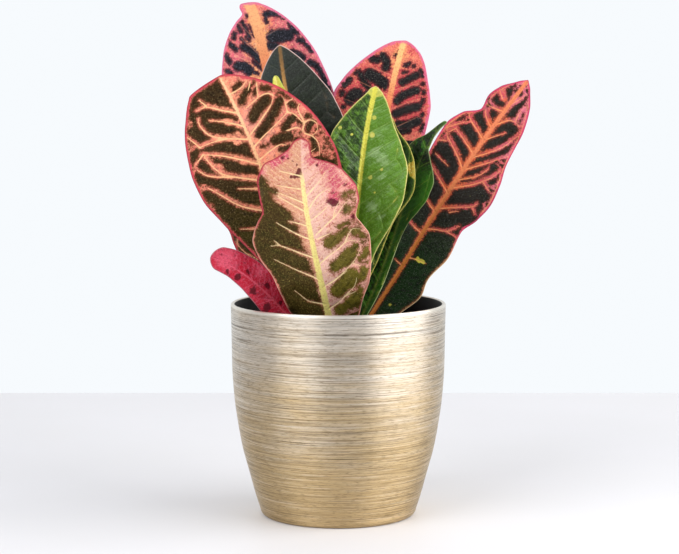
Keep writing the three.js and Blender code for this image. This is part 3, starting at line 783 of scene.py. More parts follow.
def leaf_skin(name, look):
    """A variegated leaf's skin. Flesh runs from its inner to its outer colour, flushes and freckles. Dark
    patches show where the patch field and noise rise above zero, with a warm halo round them. Netted zones
    are cut by the walls of noisy cells. Hair-fine pale lines follow the veins and, weakly, side veins that
    leave the midrib at even steps. The midrib, margin and hem have their own colours. The underside is
    duller, with the same marks seen weakly through the blade."""
    skin = new_material(name)
    flat, field, blade, marks = [skin.node("ShaderNodeAttribute", {"attribute_name": key}, output="Vector")
                                 for key in ("flat", "field", "blade", "marks")]
    x, y, leaf_number = skin.parts(flat)
    patch, line, edge = skin.parts(field)
    share, netted, under = skin.parts(blade)
    signed, flush, stain_and_painted_light = skin.parts(marks)
    off_rib = abs(x)
    off_line = abs(signed)
    on_left = x.rise(0.8, -0.8)
    span = x.math("DIVIDE", off_rib, off_rib + edge + 0.01)

    def tint(key, otherwise=None):
        """The look's colour of that key, or else of the other."""
        return paint(look.get(key, look.get(otherwise)))

    # Noise from broad to fine, the two that swing about zero, combed ripples, side veins and cells.
    broad = skin.noise(flat, 0.10, 2.0)
    mottle = skin.noise(flat, 0.42, 3.0, 0.62)
    fine = skin.noise(flat, 1.3, 3.0, 0.7)
    speck = skin.noise(flat, 2.4, 1.0, 0.5)
    patchy = mottle - 0.5
    grainy = fine - 0.5
    slope, pitch = look["side_veins"]
    combed = y - off_rib * slope
    run = skin.node("ShaderNodeCombineXYZ", {}, {0: combed, 1: off_rib * 0.16, 2: leaf_number})
    ripple = skin.noise(run, look["ripple_pitch"], 2.0, 0.6)
    side_vein = combed.math("PINGPONG", (combed + mottle * 5) * (1 / pitch), 0.5) * pitch
    sway = skin.node("ShaderNodeCombineXYZ", {}, {0: mottle * 3, 1: fine * 2})
    bent = skin.node("ShaderNodeVectorMath", {"operation": "ADD"}, {0: flat, 1: sway})
    small_cells, large_cells = [
        skin.node("ShaderNodeTexVoronoi", {"feature": "DISTANCE_TO_EDGE"}, {"Vector": bent, "Scale": scale})
        for scale in (0.55, 0.29)]

    # The flesh and the dark patches, each as if it covered the whole blade.
    outer_share = (span + mottle * 0.8 - 0.4).rise(*look["flesh_change"])
    blush = (broad * 0.6 + mottle * 0.5).rise(0.5, 0.75) * look["flush_share"]
    flushed = (flush + patchy * 1.4 + grainy * 0.6 + blush).rise(0.05, 0.9)
    freckles = (fine * 0.65 + mottle * 0.35).rise(0.50, 0.62) * look["freckle_share"]
    flecks = (speck * 0.85 + ripple * 0.15).rise(0.52, 0.66) * look["fleck_share"]
    side_lines = side_vein.rise(0.5, 0.12) * mottle.rise(0.36, 0.55) * look["side_share"]
    flesh = skin.blend(tint("flesh_inner"), tint("flesh_outer"), outer_share)
    flesh = skin.blend(flesh, tint("flesh_left", "flesh_inner"), on_left * look["flesh_left_share"])
    flesh = skin.blend(flesh, tint("flush"), flushed)
    flesh = skin.blend(flesh, tint("freckle"), freckles)
    flesh = skin.blend(flesh, tint("fleck"), flecks)
    flesh = skin.blend(flesh, tint("line"), side_lines)
    # Pale grains on the dark patches are painted glints; a faint net of cell walls runs among them.
    grains = (fine * 0.6 + speck * 0.6).rise(0.68, 0.80) + small_cells.rise(0.07, 0.02) * 0.2
    dark = skin.blend(tint("dark_base"), tint("dark_tip"), share.rise(*look["dark_change"]))
    dark = skin.blend(dark, tint("dark_left", "dark_base"), on_left * look["dark_left_share"])
    dark = skin.blend(dark, tint("dark_sheen"), (mottle * 0.6 + ripple * 0.4).rise(0.46, 0.62) * 0.7)
    dark = skin.blend(dark, tint("dark_glint"), grains * look["dark_glint_share"])

    # Where the patches lie, with their torn edges, nets and halos, and the stains and painted light over
    # both.
    torn = patchy * look["ragged"] * 3.2 + grainy * look["ragged"] * 4.4
    zone = (netted + (broad - 0.5) * 0.8).rise(0.3, 0.7)
    net = edge.math("MINIMUM", large_cells * 3.5 - 0.65, edge - 1.0)
    patch = patch * (1 - zone) + net * zone + look["spread"]
    darkness = (patch + torn).rise(-look["soft"], look["soft"])
    halo = (patch + patchy * 8 + grainy * 4).rise(-2.6, 0.4) * look["halo_share"]
    inner_halo = darkness * (patch + grainy * 3).rise(1.6, -0.2) * 0.35
    # On some leaves the stains are painted glints or a painted shadow rather than real marks.
    streaks = look["glint_streaks"]
    smudge = mottle * (1 - streaks) + ripple * streaks - 0.5
    stain_and_light_cover = (stain_and_painted_light + smudge * 1.8 + grainy * 0.8).rise(0.35, 0.75) * look["stain_and_painted_light_share"]
    colour = skin.blend(flesh, tint("halo"), halo)
    colour = skin.blend(colour, dark, darkness)
    colour = skin.blend(colour, tint("halo"), inner_halo)
    colour = skin.blend(colour, tint("stain_and_painted_light", "dark_tip"), stain_and_light_cover)

    # Broken hairlines along the veins, then the midrib, the margin and its hem.
    hair = off_line.math("MAXIMUM", off_line, line - LINE_GUARD)
    hairline = (hair + fine * 0.5 - 0.25).rise(LINE_WIDTH, 0.2)
    hair_share = look["line_share"] * (1.1 - span * look["line_fade"])
    broken = mottle.rise(0.34, 0.54) * 0.5 + 0.5
    colour = skin.blend(colour, tint("line"), hairline * hair_share * broken)
    rib_base, rib_tip = look["rib_width"]
    rib_half = rib_base + (rib_tip - rib_base) * share
    rib = (off_rib - rib_half + grainy * 1.6).rise(0.4, -0.4) * share.rise(*look["rib_end"])
    rib_colour = skin.blend(tint("rib_base"), tint("rib_tip"), share.rise(*look["rib_change"]))
    rib_colour = skin.blend(rib_colour, tint("freckle"), (fine * 0.6 + speck * 0.4).rise(0.5, 0.62) * 0.5)
    colour = skin.blend(colour, rib_colour, rib)
    margin_width = look["margin_width"]
    ragged_edge = edge - margin_width + patchy * margin_width * 3 + grainy * 1.2
    upper_half = share.rise(*look["margin_change"])
    margin = skin.blend(tint("margin_low", "margin"), tint("margin"), upper_half)
    hem = skin.blend(tint("hem_low", "hem"), tint("hem"), upper_half)
    colour = skin.blend(colour, margin, ragged_edge.rise(0.35, -0.35) * look["margin_share"])
    colour = skin.blend(colour, hem, edge.rise(0.55, 0.1) * 0.8)

    # The underside, and the surface's relief.
    seen_through = (patch + torn * 2).rise(1.4, -1.4) * 0.6 + mottle * 0.3
    raised = off_line.math("MAXIMUM", off_line, line - UNDER_GUARD) + grainy * 0.6
    below = skin.blend(tint("under"), tint("under_flesh"), seen_through)
    below = skin.blend(below, tint("under_rib"), raised.rise(0.9, 0.2) * 0.55)
    below = skin.blend(below, tint("under_rib"), (off_rib - 1.6 + share).rise(0.4, -0.4))
    relief = line.rise(0.0, 0.9) * 0.5 + fine * look["grain"] + (mottle + ripple * 2) * look["ripple"]
    skin.surface(
        Base_Color=skin.blend(colour, below, under),
        Roughness=look["roughness"] + fine * 0.12 + under * 0.15,
        Specular_IOR_Level=look["shine"],
        Normal=skin.bump(relief, look["bump"], 0.0006))
    return skin.owner


# What a leaf has unless it says otherwise. The foot is an azimuth, a height and an inset, the rib three
# points of the midrib, the face the blade's way up at foot and tip, and the fold degrees left and right. A
# wave is its height, its number and its starts left and right. Rows of outline and heart are a share of the
# midrib and the half widths left and right. A vein is the half widths of its band at start and end, then
# its points, each a share and the millimetres across, below zero on the left. A lateral is a share, a slope
# and a reach, and a blot its half width, then its points. Spots, flushes, stains and nets are glows; on
# some leaves the stains are painted glints or a painted shadow.
plain_leaf = {
    "face": ((0.1, -1, 0.1), (-0.1, -1, 0.2)), "wave": (1, 2, 0, 1), "round_from": 0.985,
    "band": (0.0, 0.0), "crimp": 0.25, "puff": 0.45, "laterals": ((), ()),
    "veins": (), "blots": (), "spots": (), "flushes": (), "stains_and_painted_light": (),
    "nets": (), "rib_colour_shift": ((0, 0), (1, 0)),
}

# What a look has unless it says otherwise. Each share says how much a colour covers, and a change or an
# end gives the two shares of the midrib between which it happens. Widths and pitches are in millimetres.
plain_look = {
    "flesh_left_share": 0.0, "flesh_change": (0.1, 0.7), "fleck_share": 0.6, "freckle_share": 0.5,
    "dark_left_share": 0.0, "dark_change": (0.3, 0.8), "dark_glint_share": 0.5, "halo_share": 0.5,
    "spread": 0.0, "side_share": 0.3, "side_veins": (0.55, 2.7), "ripple_pitch": 0.5,
    "line_fade": 0.5, "stain_and_painted_light_share": 0.9, "glint_streaks": 0.0, "rib_change": (0.3, 0.9),
    "rib_end": (1.2, 1.1),
    "margin_share": 0.85, "margin_change": (0.36, 0.56), "roughness": 0.38, "shine": 0.15, "grain": 0.5,
    "ripple": 0.35, "bump": 0.5,
}

leaf_front = plain_leaf | {
    "node": "leaf_front", "slot": "leaf_pink", "seed": 3, "foot": (-100, 89),
    "rib": ((-9, -28, 132), (-17, -34, 172), (-20, -35, 212)),
    "face": ((0, -1, 0.1), (-0.1, -1, 0.25)), "fold": (6, 8), "wave": (2, 3, 1, 2.5), "round_from": 0.97,
    "outline": (
        (0.08, 8, 8), (0.18, 18, 17), (0.25, 20.5, 20.5), (0.32, 22.3, 26), (0.42, 25, 30),
        (0.52, 30.5, 31.5), (0.58, 31.7, 28.6), (0.62, 30, 26.4), (0.66, 27, 28), (0.7, 23.6, 29.6),
        (0.75, 24, 29.2), (0.82, 24.7, 25), (0.865, 22.5, 20.5), (0.89, 20.5, 15.5), (0.918, 13, 6),
        (0.955, 6.5, 5.3), (1, 3.5, 4.5),
    ),
    "rim_band": 0.3, "patch_round": 1.4, "crimp": 0.5, "puff": 0.7,
    "veins": (
        ((0.9, 0.4), (0.705, 0), (0.745, -8), (0.77, -14.5)),
        ((1.2, 0.2), (0.665, 0), (0.72, -8.5), (0.755, -14)),
        ((1.3, 0.2), (0.6, 0), (0.625, -5.5), (0.64, -10.5)),
        ((1.5, -0.4), (0.54, 0), (0.57, -6), (0.6, -10.5), (0.63, -15), (0.645, -17)),
        ((1.4, -0.5), (0.455, 0), (0.495, -8), (0.525, -13.5), (0.545, -17.5), (0.55, -22.5)),
        ((-0.4, -0.4), (0.545, -17.5), (0.57, -20)),
        ((1.0, -0.6), (0.355, 0), (0.39, -5.5), (0.415, -10), (0.45, -15.5), (0.49, -22)),
        ((0.6, -0.6), (0.245, 0), (0.27, -7.5), (0.29, -10.5), (0.315, -12.5), (0.34, -15)),
        ((0.4, -0.6), (0.14, 0), (0.19, -10)), ((0.5, 0.3), (0.77, 0), (0.8, -14)),
        ((0.5, 0.3), (0.83, 0), (0.86, -12)),
        ((-0.4, -0.4), (0.665, 0), (0.725, 6), (0.745, 9), (0.765, 14.5)),
        ((-0.4, -0.4), (0.73, 0), (0.79, 8), (0.84, 13)),
        ((-0.4, -0.4), (0.56, 3), (0.61, 11.5), (0.64, 17), (0.675, 20), (0.7, 24.5)),
        ((-0.4, -0.4), (0.62, 0), (0.66, 9), (0.69, 13)), ((-0.4, -0.4), (0.54, 3), (0.555, 10.5)),
        ((0.8, 0.6), (0.62, 14), (0.655, 15), (0.7, 19)),
        ((0, 0), (0.42, 0), (0.46, 8), (0.48, 13.5), (0.505, 17.5), (0.51, 21.5), (0.495, 25.5)),
        ((0, 0), (0.505, 17.5), (0.54, 20.5), (0.565, 23), (0.555, 27)),
        ((0, 0), (0.32, 0), (0.345, 7), (0.36, 11), (0.385, 15.5),
         (0.405, 19), (0.43, 22.5), (0.47, 25.5)), ((-0.4, -0.4), (0.335, 5), (0.375, 15)),
        ((-0.4, -0.4), (0.405, 19), (0.39, 23)),
        ((0, 0), (0.22, 0), (0.24, 6), (0.26, 9.5), (0.29, 14.5), (0.31, 18), (0.34, 19.5)),
        ((-0.4, -0.4), (0.27, 11), (0.285, 17.5)), ((0.9, 0.2), (0.11, 0), (0.17, 12)),
    ),
    "heart": (
        (0, 1.5, 3), (0.16, 1.8, 3.4), (0.25, 2, 40), (0.34, 2.6, 40), (0.48, 4.2, 40), (0.53, 5.5, 40),
        (0.58, 6, 40), (0.62, 6.6, 40), (0.66, 7.6, 40), (0.7, 11, 40), (0.74, 16.5, 40),
        (0.83, 19.5, 40), (0.88, 26, 40), (1, 30, 40),
    ),
    "blots": (
        (2.2, (0.635, -15), (0.62, -10.5), (0.605, -8)), (1.8, (0.79, -19.5), (0.775, -15.5)),
        (3.4, (0.515, 9), (0.525, 12)), (2.5, (0.53, 14), (0.56, 19.5)),
        (1.5, (0.58, 15.5), (0.595, 21.5)), (2.4, (0.545, 23.5), (0.55, 25.5)),
        (2.0, (0.53, 27), (0.485, 29), (0.44, 28.5)), (3.4, (0.405, 9.5), (0.415, 12)),
        (4.2, (0.425, 15), (0.45, 19)), (2.4, (0.465, 21), (0.48, 23)),
        (2.2, (0.415, 24.5), (0.445, 27.5)), (4.2, (0.3, 8), (0.315, 11)),
        (4.9, (0.33, 14), (0.35, 17.5)), (2.6, (0.345, 22.5), (0.375, 25.5)), (3.4, (0.21, 7), (0.22, 9)),
        (3.8, (0.235, 13), (0.26, 17.5)), (2.0, (0.3, 21), (0.265, 19.5), (0.22, 17)),
        (2.2, (0.72, 22), (0.73, 26)), (2.4, (0.65, 21.5), (0.67, 24)), (1.4, (0.62, 26), (0.585, 28)),
    ),
    "flushes": (
        (0.855, 17, 4, 0.7), (0.88, 11, 4, 0.7), (0.79, 17.5, 5, 0.9), (0.715, 16, 4, 1.1),
        (0.76, 26, 3, 0.9), (0.9, 5, 2.5, 0.8), (0.925, -9, 3, 1.2), (0.9, -15, 3, 1.2),
        (0.86, -22, 2.5, 0.9), (0.97, 2, 3, 0.5), (0.62, 26, 4, 0.6), (0.5, -26, 6, 0.2),
    ),
    # Stains just left of the midrib near the tip paint the shadow under the curled tip; the rest are dark
    # blotches.
    "stains_and_painted_light": (
        (0.7, 14, 2.6, 0.9), (0.69, 16.5, 2.4, 0.9), (0.74, 17, 2.2, 0.4), (0.77, 23, 1.5, 0.6),
        (0.875, 8.5, 1.3, 0.8), (0.835, -2, 1.3, 1.4), (0.845, -1.5, 1.3, 1.4), (0.86, -1.5, 1.1, 1.3),
        (0.83, -4, 1.1, 1.3), (0.83, -6, 0.9, 1.1), (0.885, -2.5, 0.9, 1.0), (0.9, -4.5, 0.9, 0.9),
        (0.91, -7, 0.9, 0.8), (0.92, -13, 1.1, 1.0), (0.915, -10, 1.2, 0.9), (0.62, 25, 1.5, 0.9),
        (0.88, 14, 1.6, 0.5),
    ),
    "nets": (
        (0.7, 24.5, 5, 0.7), (0.6, 25, 4, 0.7), (0.49, 28, 4, 0.9), (0.4, 27, 4, 0.9), (0.31, 23, 4, 0.7),
    ),
}
front_look = plain_look | {
    "flesh_inner": "#dfb0a0", "flesh_outer": "#d89c8c", "flesh_left": "#bf8460", "flesh_left_share": 0.8,
    "flush": "#c24a62", "flush_share": 0.15, "fleck": "#f8dcca", "fleck_share": 0.4, "freckle": "#b55f50",
    "freckle_share": 0.7,
    "dark_base": "#5f561c", "dark_tip": "#64502a", "dark_left": "#33240f", "dark_left_share": 0.9,
    "dark_sheen": "#2c280c", "dark_glint": "#a89650", "halo": "#85442c",
    "ragged": 1.1, "soft": 0.7, "side_share": 0.35, "side_veins": (0.75, 3.0),
    "line": "#f3d9a4", "line_share": 0.85, "stain_and_painted_light": "#541420", "rib_base": "#ddd27c",
    "rib_tip": "#f2da98", "rib_width": (2.1, 0.9), "rib_end": (0.86, 0.8),
    "margin": "#ae3848", "margin_low": "#bf6f60", "margin_width": 0.8, "margin_change": (0.6, 0.7),
    "hem": "#8c2434", "hem_low": "#dcae98",
    "under": "#a98a70", "under_flesh": "#d9a78e", "under_rib": "#e6d2a2",
    "shine": 0.08,
}
new_leaf(leaf_front, leaf_skin("leaf_front_skin", front_look))

leaf_small = plain_leaf | {
    "node": "leaf_small", "slot": "leaf_pink", "seed": 5, "foot": (-142, 92, 1),
    "rib": ((-27, -16, 113), (-45, -24, 132), (-69.3, -30.3, 147.5)),
    "face": ((0, -1, 0.4), (0, -1, 0.4)), "fold": (10, 10), "round_from": 0.95,
    "outline": (
        (0.2, 6, 6), (0.45, 10, 9), (0.6, 9.2, 10), (0.75, 7.4, 10.6), (0.87, 6, 9.6), (0.95, 6, 7.8),
        (1, 5.5, 6),
    ),
    "rim_band": 0.4, "patch_round": 1.0,
    "veins": (
        ((0.6, 0.4), (0.3, 0), (0.42, -6)), ((0.6, 0.4), (0.5, 0), (0.6, -6)),
        ((0.6, 0.4), (0.3, 0), (0.42, 6)), ((0.6, 0.4), (0.5, 0), (0.62, 7)),
        ((0.6, 0.4), (0.7, 0), (0.8, 6)),
    ),
    "heart": ((0, 2, 2), (0.3, 20, 20), (1, 20, 20)), "flushes": ((0.92, 2, 7, 0.9), (0.7, 7, 4, 0.6)),
    "stains_and_painted_light": (
        (0.8, -3.5, 2.0, 1.3), (0.76, 2.5, 1.7, 1.1), (0.6, 3.5, 1.8, 1.2), (0.66, -4.5, 2.2, 1.3),
        (0.5, -6, 2.8, 1.3), (0.45, 2, 1.4, 1.1), (0.36, -5, 3.0, 1.4), (0.88, -4, 1.4, 1.0),
    ),
}
# The small leaf's pale pink flecks are painted highlights.
small_look = plain_look | {
    "flesh_inner": "#a4142a", "flesh_outer": "#a81a30", "flush": "#c64c60", "flush_share": 0.4,
    "fleck": "#de8490", "fleck_share": 0.3, "freckle": "#640c18", "freckle_share": 0.85,
    "dark_base": "#641220", "dark_tip": "#581826", "dark_sheen": "#481018", "dark_glint": "#a02c40",
    "halo": "#8c1c30",
    "ragged": 1.0, "soft": 0.8, "line": "#d9607a", "line_share": 0.3, "stain_and_painted_light": "#420c14",
    "stain_and_painted_light_share": 0.85,
    "rib_base": "#c04450", "rib_tip": "#cc5468", "rib_width": (0.9, 0.3),
    "margin": "#8c2840", "margin_width": 0.4, "hem": "#b07a80", "under": "#8a4a44",
    "under_flesh": "#b0605a", "under_rib": "#cf9a84",
    "shine": 0.05,
}
new_leaf(leaf_small, leaf_skin("leaf_small_skin", small_look))

# Red-veined leaves. The mature blades, near-black green between orange and coral veins, with a crimson
# margin. Those behind carry wider coral bands, and their tips are all flesh-coloured.
leaf_left = plain_leaf | {
    "node": "leaf_left", "slot": "leaf_red_veined", "seed": 7, "foot": (-162, 98),
    "rib": ((-26, -11, 149), (-43, -14, 197), (-65, -13, 245)),
    "face": ((-0.2, -1, 0.1), (-0.1, -1, 0.2)), "fold": (5, 5), "wave": (1.5, 2, 0, 1),
    "outline": (
        (0.12, 6, 7), (0.25, 13, 20), (0.36, 20.5, 33), (0.5, 30, 41), (0.62, 36.2, 43), (0.7, 37.2, 41),
        (0.77, 36, 37.5), (0.83, 34, 32.3), (0.88, 31, 26.7), (0.92, 27.5, 20.5), (0.955, 24, 13.5),
        (0.985, 20, 6.5), (1, 18, 3),
    ),
    "rim_band": 1.4, "patch_round": 1.4, "puff": 0.5,
    "veins": (
        ((1.6, 1.1), (0.86, 0), (0.895, -8), (0.93, -14), (0.93, -20)),
        ((1.4, 0.5), (0.81, 0), (0.85, -8), (0.88, -16)),
        ((1.9, 1.3), (0.76, 0), (0.795, -11), (0.805, -20), (0.805, -27)),
        ((1.3, 1), (0.795, -11), (0.825, -19.5), (0.88, -22.5), (0.905, -21)),
        ((1.9, 1.3), (0.665, 0), (0.735, -15), (0.76, -22), (0.775, -27)),
        ((1.8, 1.3), (0.6, 0), (0.655, -16), (0.69, -23), (0.77, -27)),
        ((1.3, 1.1), (0.655, -16), (0.69, -29), (0.73, -33)), ((1.4, 0.3), (0.57, 0), (0.61, -16)),
        ((1.6, 1), (0.48, 0), (0.54, -18), (0.62, -27), (0.65, -31)),
        ((1.3, 0.5), (0.42, 0), (0.465, -22)), ((1.3, 1), (0.805, -27), (0.86, -31)),
        ((1.1, 0.8), (0.775, -27), (0.75, -33)), ((1.1, 0.3), (0.33, 0), (0.37, -14)),
        ((1.1, 0.8), (0.93, -14), (0.96, -16)),
        ((0, 0), (0.77, 0), (0.81, 10.5), (0.84, 19), (0.865, 21.5)),
        ((0, 0), (0.865, 21.5), (0.88, 19.5), (0.88, 13.5), (0.865, 5.5)),
        ((0, 0), (0.73, 0), (0.75, 6.5), (0.77, 15), (0.795, 25)),
        ((0, 0), (0.795, 25), (0.825, 26), (0.845, 26)), ((0, 0), (0.825, 26), (0.83, 31)),
        ((0, 0), (0.795, 25), (0.785, 28), (0.74, 31)),
        ((0, 0), (0.72, 29), (0.745, 31.5), (0.745, 35.5), (0.725, 38), (0.7, 36.5), (0.695, 32.5)),
        ((0, 0), (0.745, 31.5), (0.795, 30.5), (0.805, 33)),
        ((0, 0), (0.71, 29.5), (0.69, 33.5), (0.66, 35), (0.625, 33)),
        ((0, 0), (0.74, 21), (0.74, 27), (0.72, 29)), ((0, 0), (0.68, 0), (0.71, 14.5), (0.695, 17.5)),
        ((0, 0), (0.93, 0), (0.93, 7), (0.945, 12.5)), ((0, 0), (0.935, 13.5), (0.915, 10.5)),
        ((0, 0), (0.92, 16), (0.88, 13.5)), ((1.2, 0.8), (0.6, 0), (0.63, 20), (0.65, 32)),
        ((1.0, 0.7), (0.5, 0), (0.54, 20), (0.57, 34)), ((0.9, 0.6), (0.4, 0), (0.44, 16), (0.47, 28)),
        ((0.7, 0.4), (0.3, 0), (0.34, 14)),
    ),
    "heart": (
        (0, 1, 1), (0.5, 1.4, 1.8), (0.6, 1.5, 3), (0.65, 1.6, 60), (0.8, 1.5, 60), (0.88, 1.4, 60),
        (1, 1.2, 60),
    ),
    "blots": (
        (2.1, (0.89, 4.5), (0.905, 7), (0.915, 10.5)), (1.1, (0.91, 14.5), (0.895, 12.5)),
        (1.8, (0.9, 18), (0.89, 21.5)), (3.1, (0.825, 6.5), (0.845, 10.5), (0.86, 17)),
        (2.7, (0.765, 6), (0.78, 10.5), (0.805, 17), (0.84, 23.5)), (1.9, (0.87, 26), (0.84, 29.5)),
        (2.0, (0.815, 28.5), (0.81, 29.5)), (2.4, (0.75, 20), (0.765, 23.5), (0.77, 26.5)),
        (2.9, (0.725, 13), (0.725, 17.5), (0.72, 21)), (1.0, (0.72, 4.5), (0.72, 8)),
        (1.2, (0.755, 28.5), (0.745, 29.5)), (1.6, (0.76, 34), (0.76, 35.5)),
        (2.3, (0.72, 32.5), (0.73, 35.5)), (2.0, (0.68, 32.5), (0.65, 32)),
        (1.8, (0.705, 39), (0.69, 39.5)), (2.3, (0.665, 40), (0.63, 39.5), (0.595, 39)),
        (1.0, (0.72, 27), (0.72, 27.5)), (1.7, (0.685, 17.5), (0.69, 14)),
        (1.7, (0.7, 23.5), (0.69, 26.5)), (2.5, (0.595, 30.5), (0.56, 33.5)),
        (1.6, (0.94, 4), (0.945, 8)), (1.2, (0.925, 13), (0.93, 15)), (3.0, (0.645, 12), (0.64, 26)),
    ),
    "spots": (
        (0.845, -7, 1.8, -3), (0.765, -7, 2.2, -3), (0.71, -20, 2.2, -3), (0.8, -5, 1.6, -2),
        (0.69, -8, 2.0, -2),
    ),
    "flushes": ((0.82, 4, 8, 0.7), (0.72, 10, 9, 0.5), (0.77, 28, 7, 0.4)),
    "nets": (
        (0.7, 37, 5, 0.9), (0.62, 38, 5, 0.9), (0.78, 30, 4, 0.6), (0.73, 25, 3, 0.6), (0.86, 24, 3, 0.5),
        (0.93, 14, 3, 0.6), (0.66, -34, 4, 0.9), (0.74, -35, 4, 0.9), (0.82, -32, 4, 0.9),
        (0.9, -27, 4, 0.8), (0.58, -33, 4, 0.7), (0.95, -15, 3, 0.6),
    ),
}
left_look = plain_look | {
    "flesh_inner": "#e68a6c", "flesh_outer": "#dc7666", "flesh_change": (0.2, 0.8),
    "flush": "#e28e84", "flush_share": 0.35, "fleck": "#f6c79c", "freckle": "#8e3226",
    "freckle_share": 0.7,
    "dark_base": "#38320d", "dark_tip": "#30200e", "dark_change": (0.35, 0.72),
    "dark_sheen": "#1a1208", "dark_glint": "#a0885c", "dark_glint_share": 0.55, "halo": "#7c3a26",
    "ragged": 0.85, "soft": 0.6, "line": "#f8c690", "line_share": 0.85, "line_fade": 0.2,
    "rib_base": "#d9a468", "rib_tip": "#f4c294", "rib_width": (1.2, 0.7),
    "margin": "#bc3e4e", "margin_width": 1.2, "hem": "#8c1c30", "under": "#5c3a2e",
    "under_flesh": "#a0604a", "under_rib": "#d2a077",
    "shine": 0.06,
}
new_leaf(leaf_left, leaf_skin("leaf_left_skin", left_look))

leaf_right = plain_leaf | {
    "node": "leaf_right", "slot": "leaf_red_veined", "seed": 9, "foot": (26, 92),
    "rib": ((39, 24, 141), (68, 35, 186), (109, 44.5, 242)),
    "face": ((0, -1, 0.3), (0, -1, 0.3)), "fold": (8, 8), "wave": (2, 3, 0, 1),
    "outline": (
        (0.08, 4, 8), (0.165, 7, 13.5), (0.25, 11, 18.5), (0.3, 13.5, 17), (0.41, 16, 20.5),
        (0.515, 17.5, 18.8), (0.58, 18.5, 22.9), (0.65, 21, 25), (0.72, 22.5, 23.2), (0.785, 23, 19.5),
        (0.84, 19.3, 17.8), (0.88, 11.7, 16.7), (0.915, 13, 14.4), (0.95, 10.5, 10.8), (0.98, 5, 5.4),
        (1, 1.5, 1.5),
    ),
    "rim_band": 0.7, "patch_round": 1.3,
    "veins": (
        ((0.3, -0.2), (0.34, 0), (0.35, 6), (0.35, 11)),
        ((1.3, 0.9), (0.46, 0), (0.475, 4.5), (0.49, 12), (0.53, 16)),
        ((0.8, 0.5), (0.49, 12), (0.49, 18)),
        ((1.3, 1.0), (0.545, 0), (0.59, 10.5), (0.61, 16.5), (0.63, 18)),
        ((1.0, 0.8), (0.61, 17), (0.595, 19.5)), ((0.6, 0.4), (0.555, 7), (0.575, 11)),
        ((1.5, 1.2), (0.63, 0), (0.67, 8.5), (0.695, 12.5), (0.73, 17), (0.76, 18.5)),
        ((1.1, 1.1), (0.7, 14.5), (0.685, 20.5)), ((1.0, 1.3), (0.66, 0), (0.71, 10), (0.745, 12)),
        ((1.4, 1.2), (0.7, 0), (0.755, 9), (0.785, 13.5), (0.81, 17)),
        ((1.5, 1.3), (0.745, 0), (0.795, 8), (0.83, 12.5), (0.855, 13.5), (0.88, 15.5)),
        ((1.1, 0.7), (0.81, 0), (0.86, 8)), ((1.5, 1.3), (0.86, 0), (0.895, 5), (0.9, 9), (0.895, 12.5)),
        ((1.3, 1.3), (0.905, 8.5), (0.925, 7.5), (0.945, 8)),
        ((1.5, 1.3), (0.925, 0), (0.955, 3.5), (0.97, 4.5)), ((0.7, 0.2), (0.305, 0), (0.31, -6)),
        ((1.2, 0.9), (0.44, 0), (0.445, -7), (0.46, -12)),
        ((1.2, 0.9), (0.53, 0), (0.545, -7), (0.57, -13)),
        ((1.5, 1.3), (0.61, 0), (0.63, -7), (0.65, -14), (0.66, -18)),
        ((1.5, 1.3), (0.7, 0), (0.725, -6), (0.745, -13), (0.76, -19), (0.78, -21)),
        ((1.3, 1.3), (0.78, -21), (0.805, -17.5), (0.83, -13)),
        ((0.9, 0.9), (0.745, -17.5), (0.73, -22.5)),
        ((1.4, 1.2), (0.76, 0), (0.77, -5), (0.785, -12.5), (0.79, -17)),
        ((1.1, 1.1), (0.79, -17), (0.77, -19)),
        ((1.4, 1.3), (0.81, 0), (0.825, -7), (0.835, -13), (0.845, -15.5), (0.86, -15.5), (0.88, -12)),
        ((1.6, 1.5), (0.85, 0), (0.865, -6.5), (0.88, -9.5)),
        ((1.6, 1.5), (0.905, 0), (0.895, -7.5), (0.895, -11.5)), ((2.2, 2.4), (0.93, -5.5), (0.94, -9)),
        ((0.6, 0.4), (0.695, -18), (0.685, -8.5)),
        ((1.6, 2.4), (0.61, 23), (0.66, 24), (0.72, 22), (0.785, 18.5),
         (0.84, 17), (0.88, 15.5), (0.915, 13), (0.96, 8)),
        ((1.0, 1.3), (0.64, -20), (0.72, -22), (0.785, -22), (0.84, -18.5),
         (0.87, -13), (0.885, -11), (0.93, -11), (0.97, -6)),
    ),
    "heart": ((0, 0.8, 0.8), (0.4, 1.6, 1.6), (0.6, 2.2, 2), (0.9, 2, 2), (0.96, 2.5, 2.5), (1, 8, 8)),
    "flushes": (
        (0.99, 0, 10, 1.2), (0.93, 8, 9, 0.9), (0.82, 16, 8, 0.9), (0.72, 22, 7, 0.9), (0.64, 24, 5, 0.7),
        (0.9, -11, 5, 0.7),
    ),
    "stains_and_painted_light": ((0.35, 5, 1.3, 0.9), (0.35, 7, 1.6, 1.0), (0.35, 9.5, 1.4, 0.9), (0.17, 6, 1.2, 0.8)),
    "nets": (
        (0.97, 0, 7, 0.8), (0.9, -11, 5, 0.8), (0.83, -15, 4, 0.7), (0.76, -20, 4, 0.9),
        (0.78, 16, 4, 0.8), (0.7, 21, 4, 0.8), (0.87, 15, 3, 0.8), (0.64, 22, 3, 0.8),
        (0.66, -19, 3, 0.7),
    ),
}
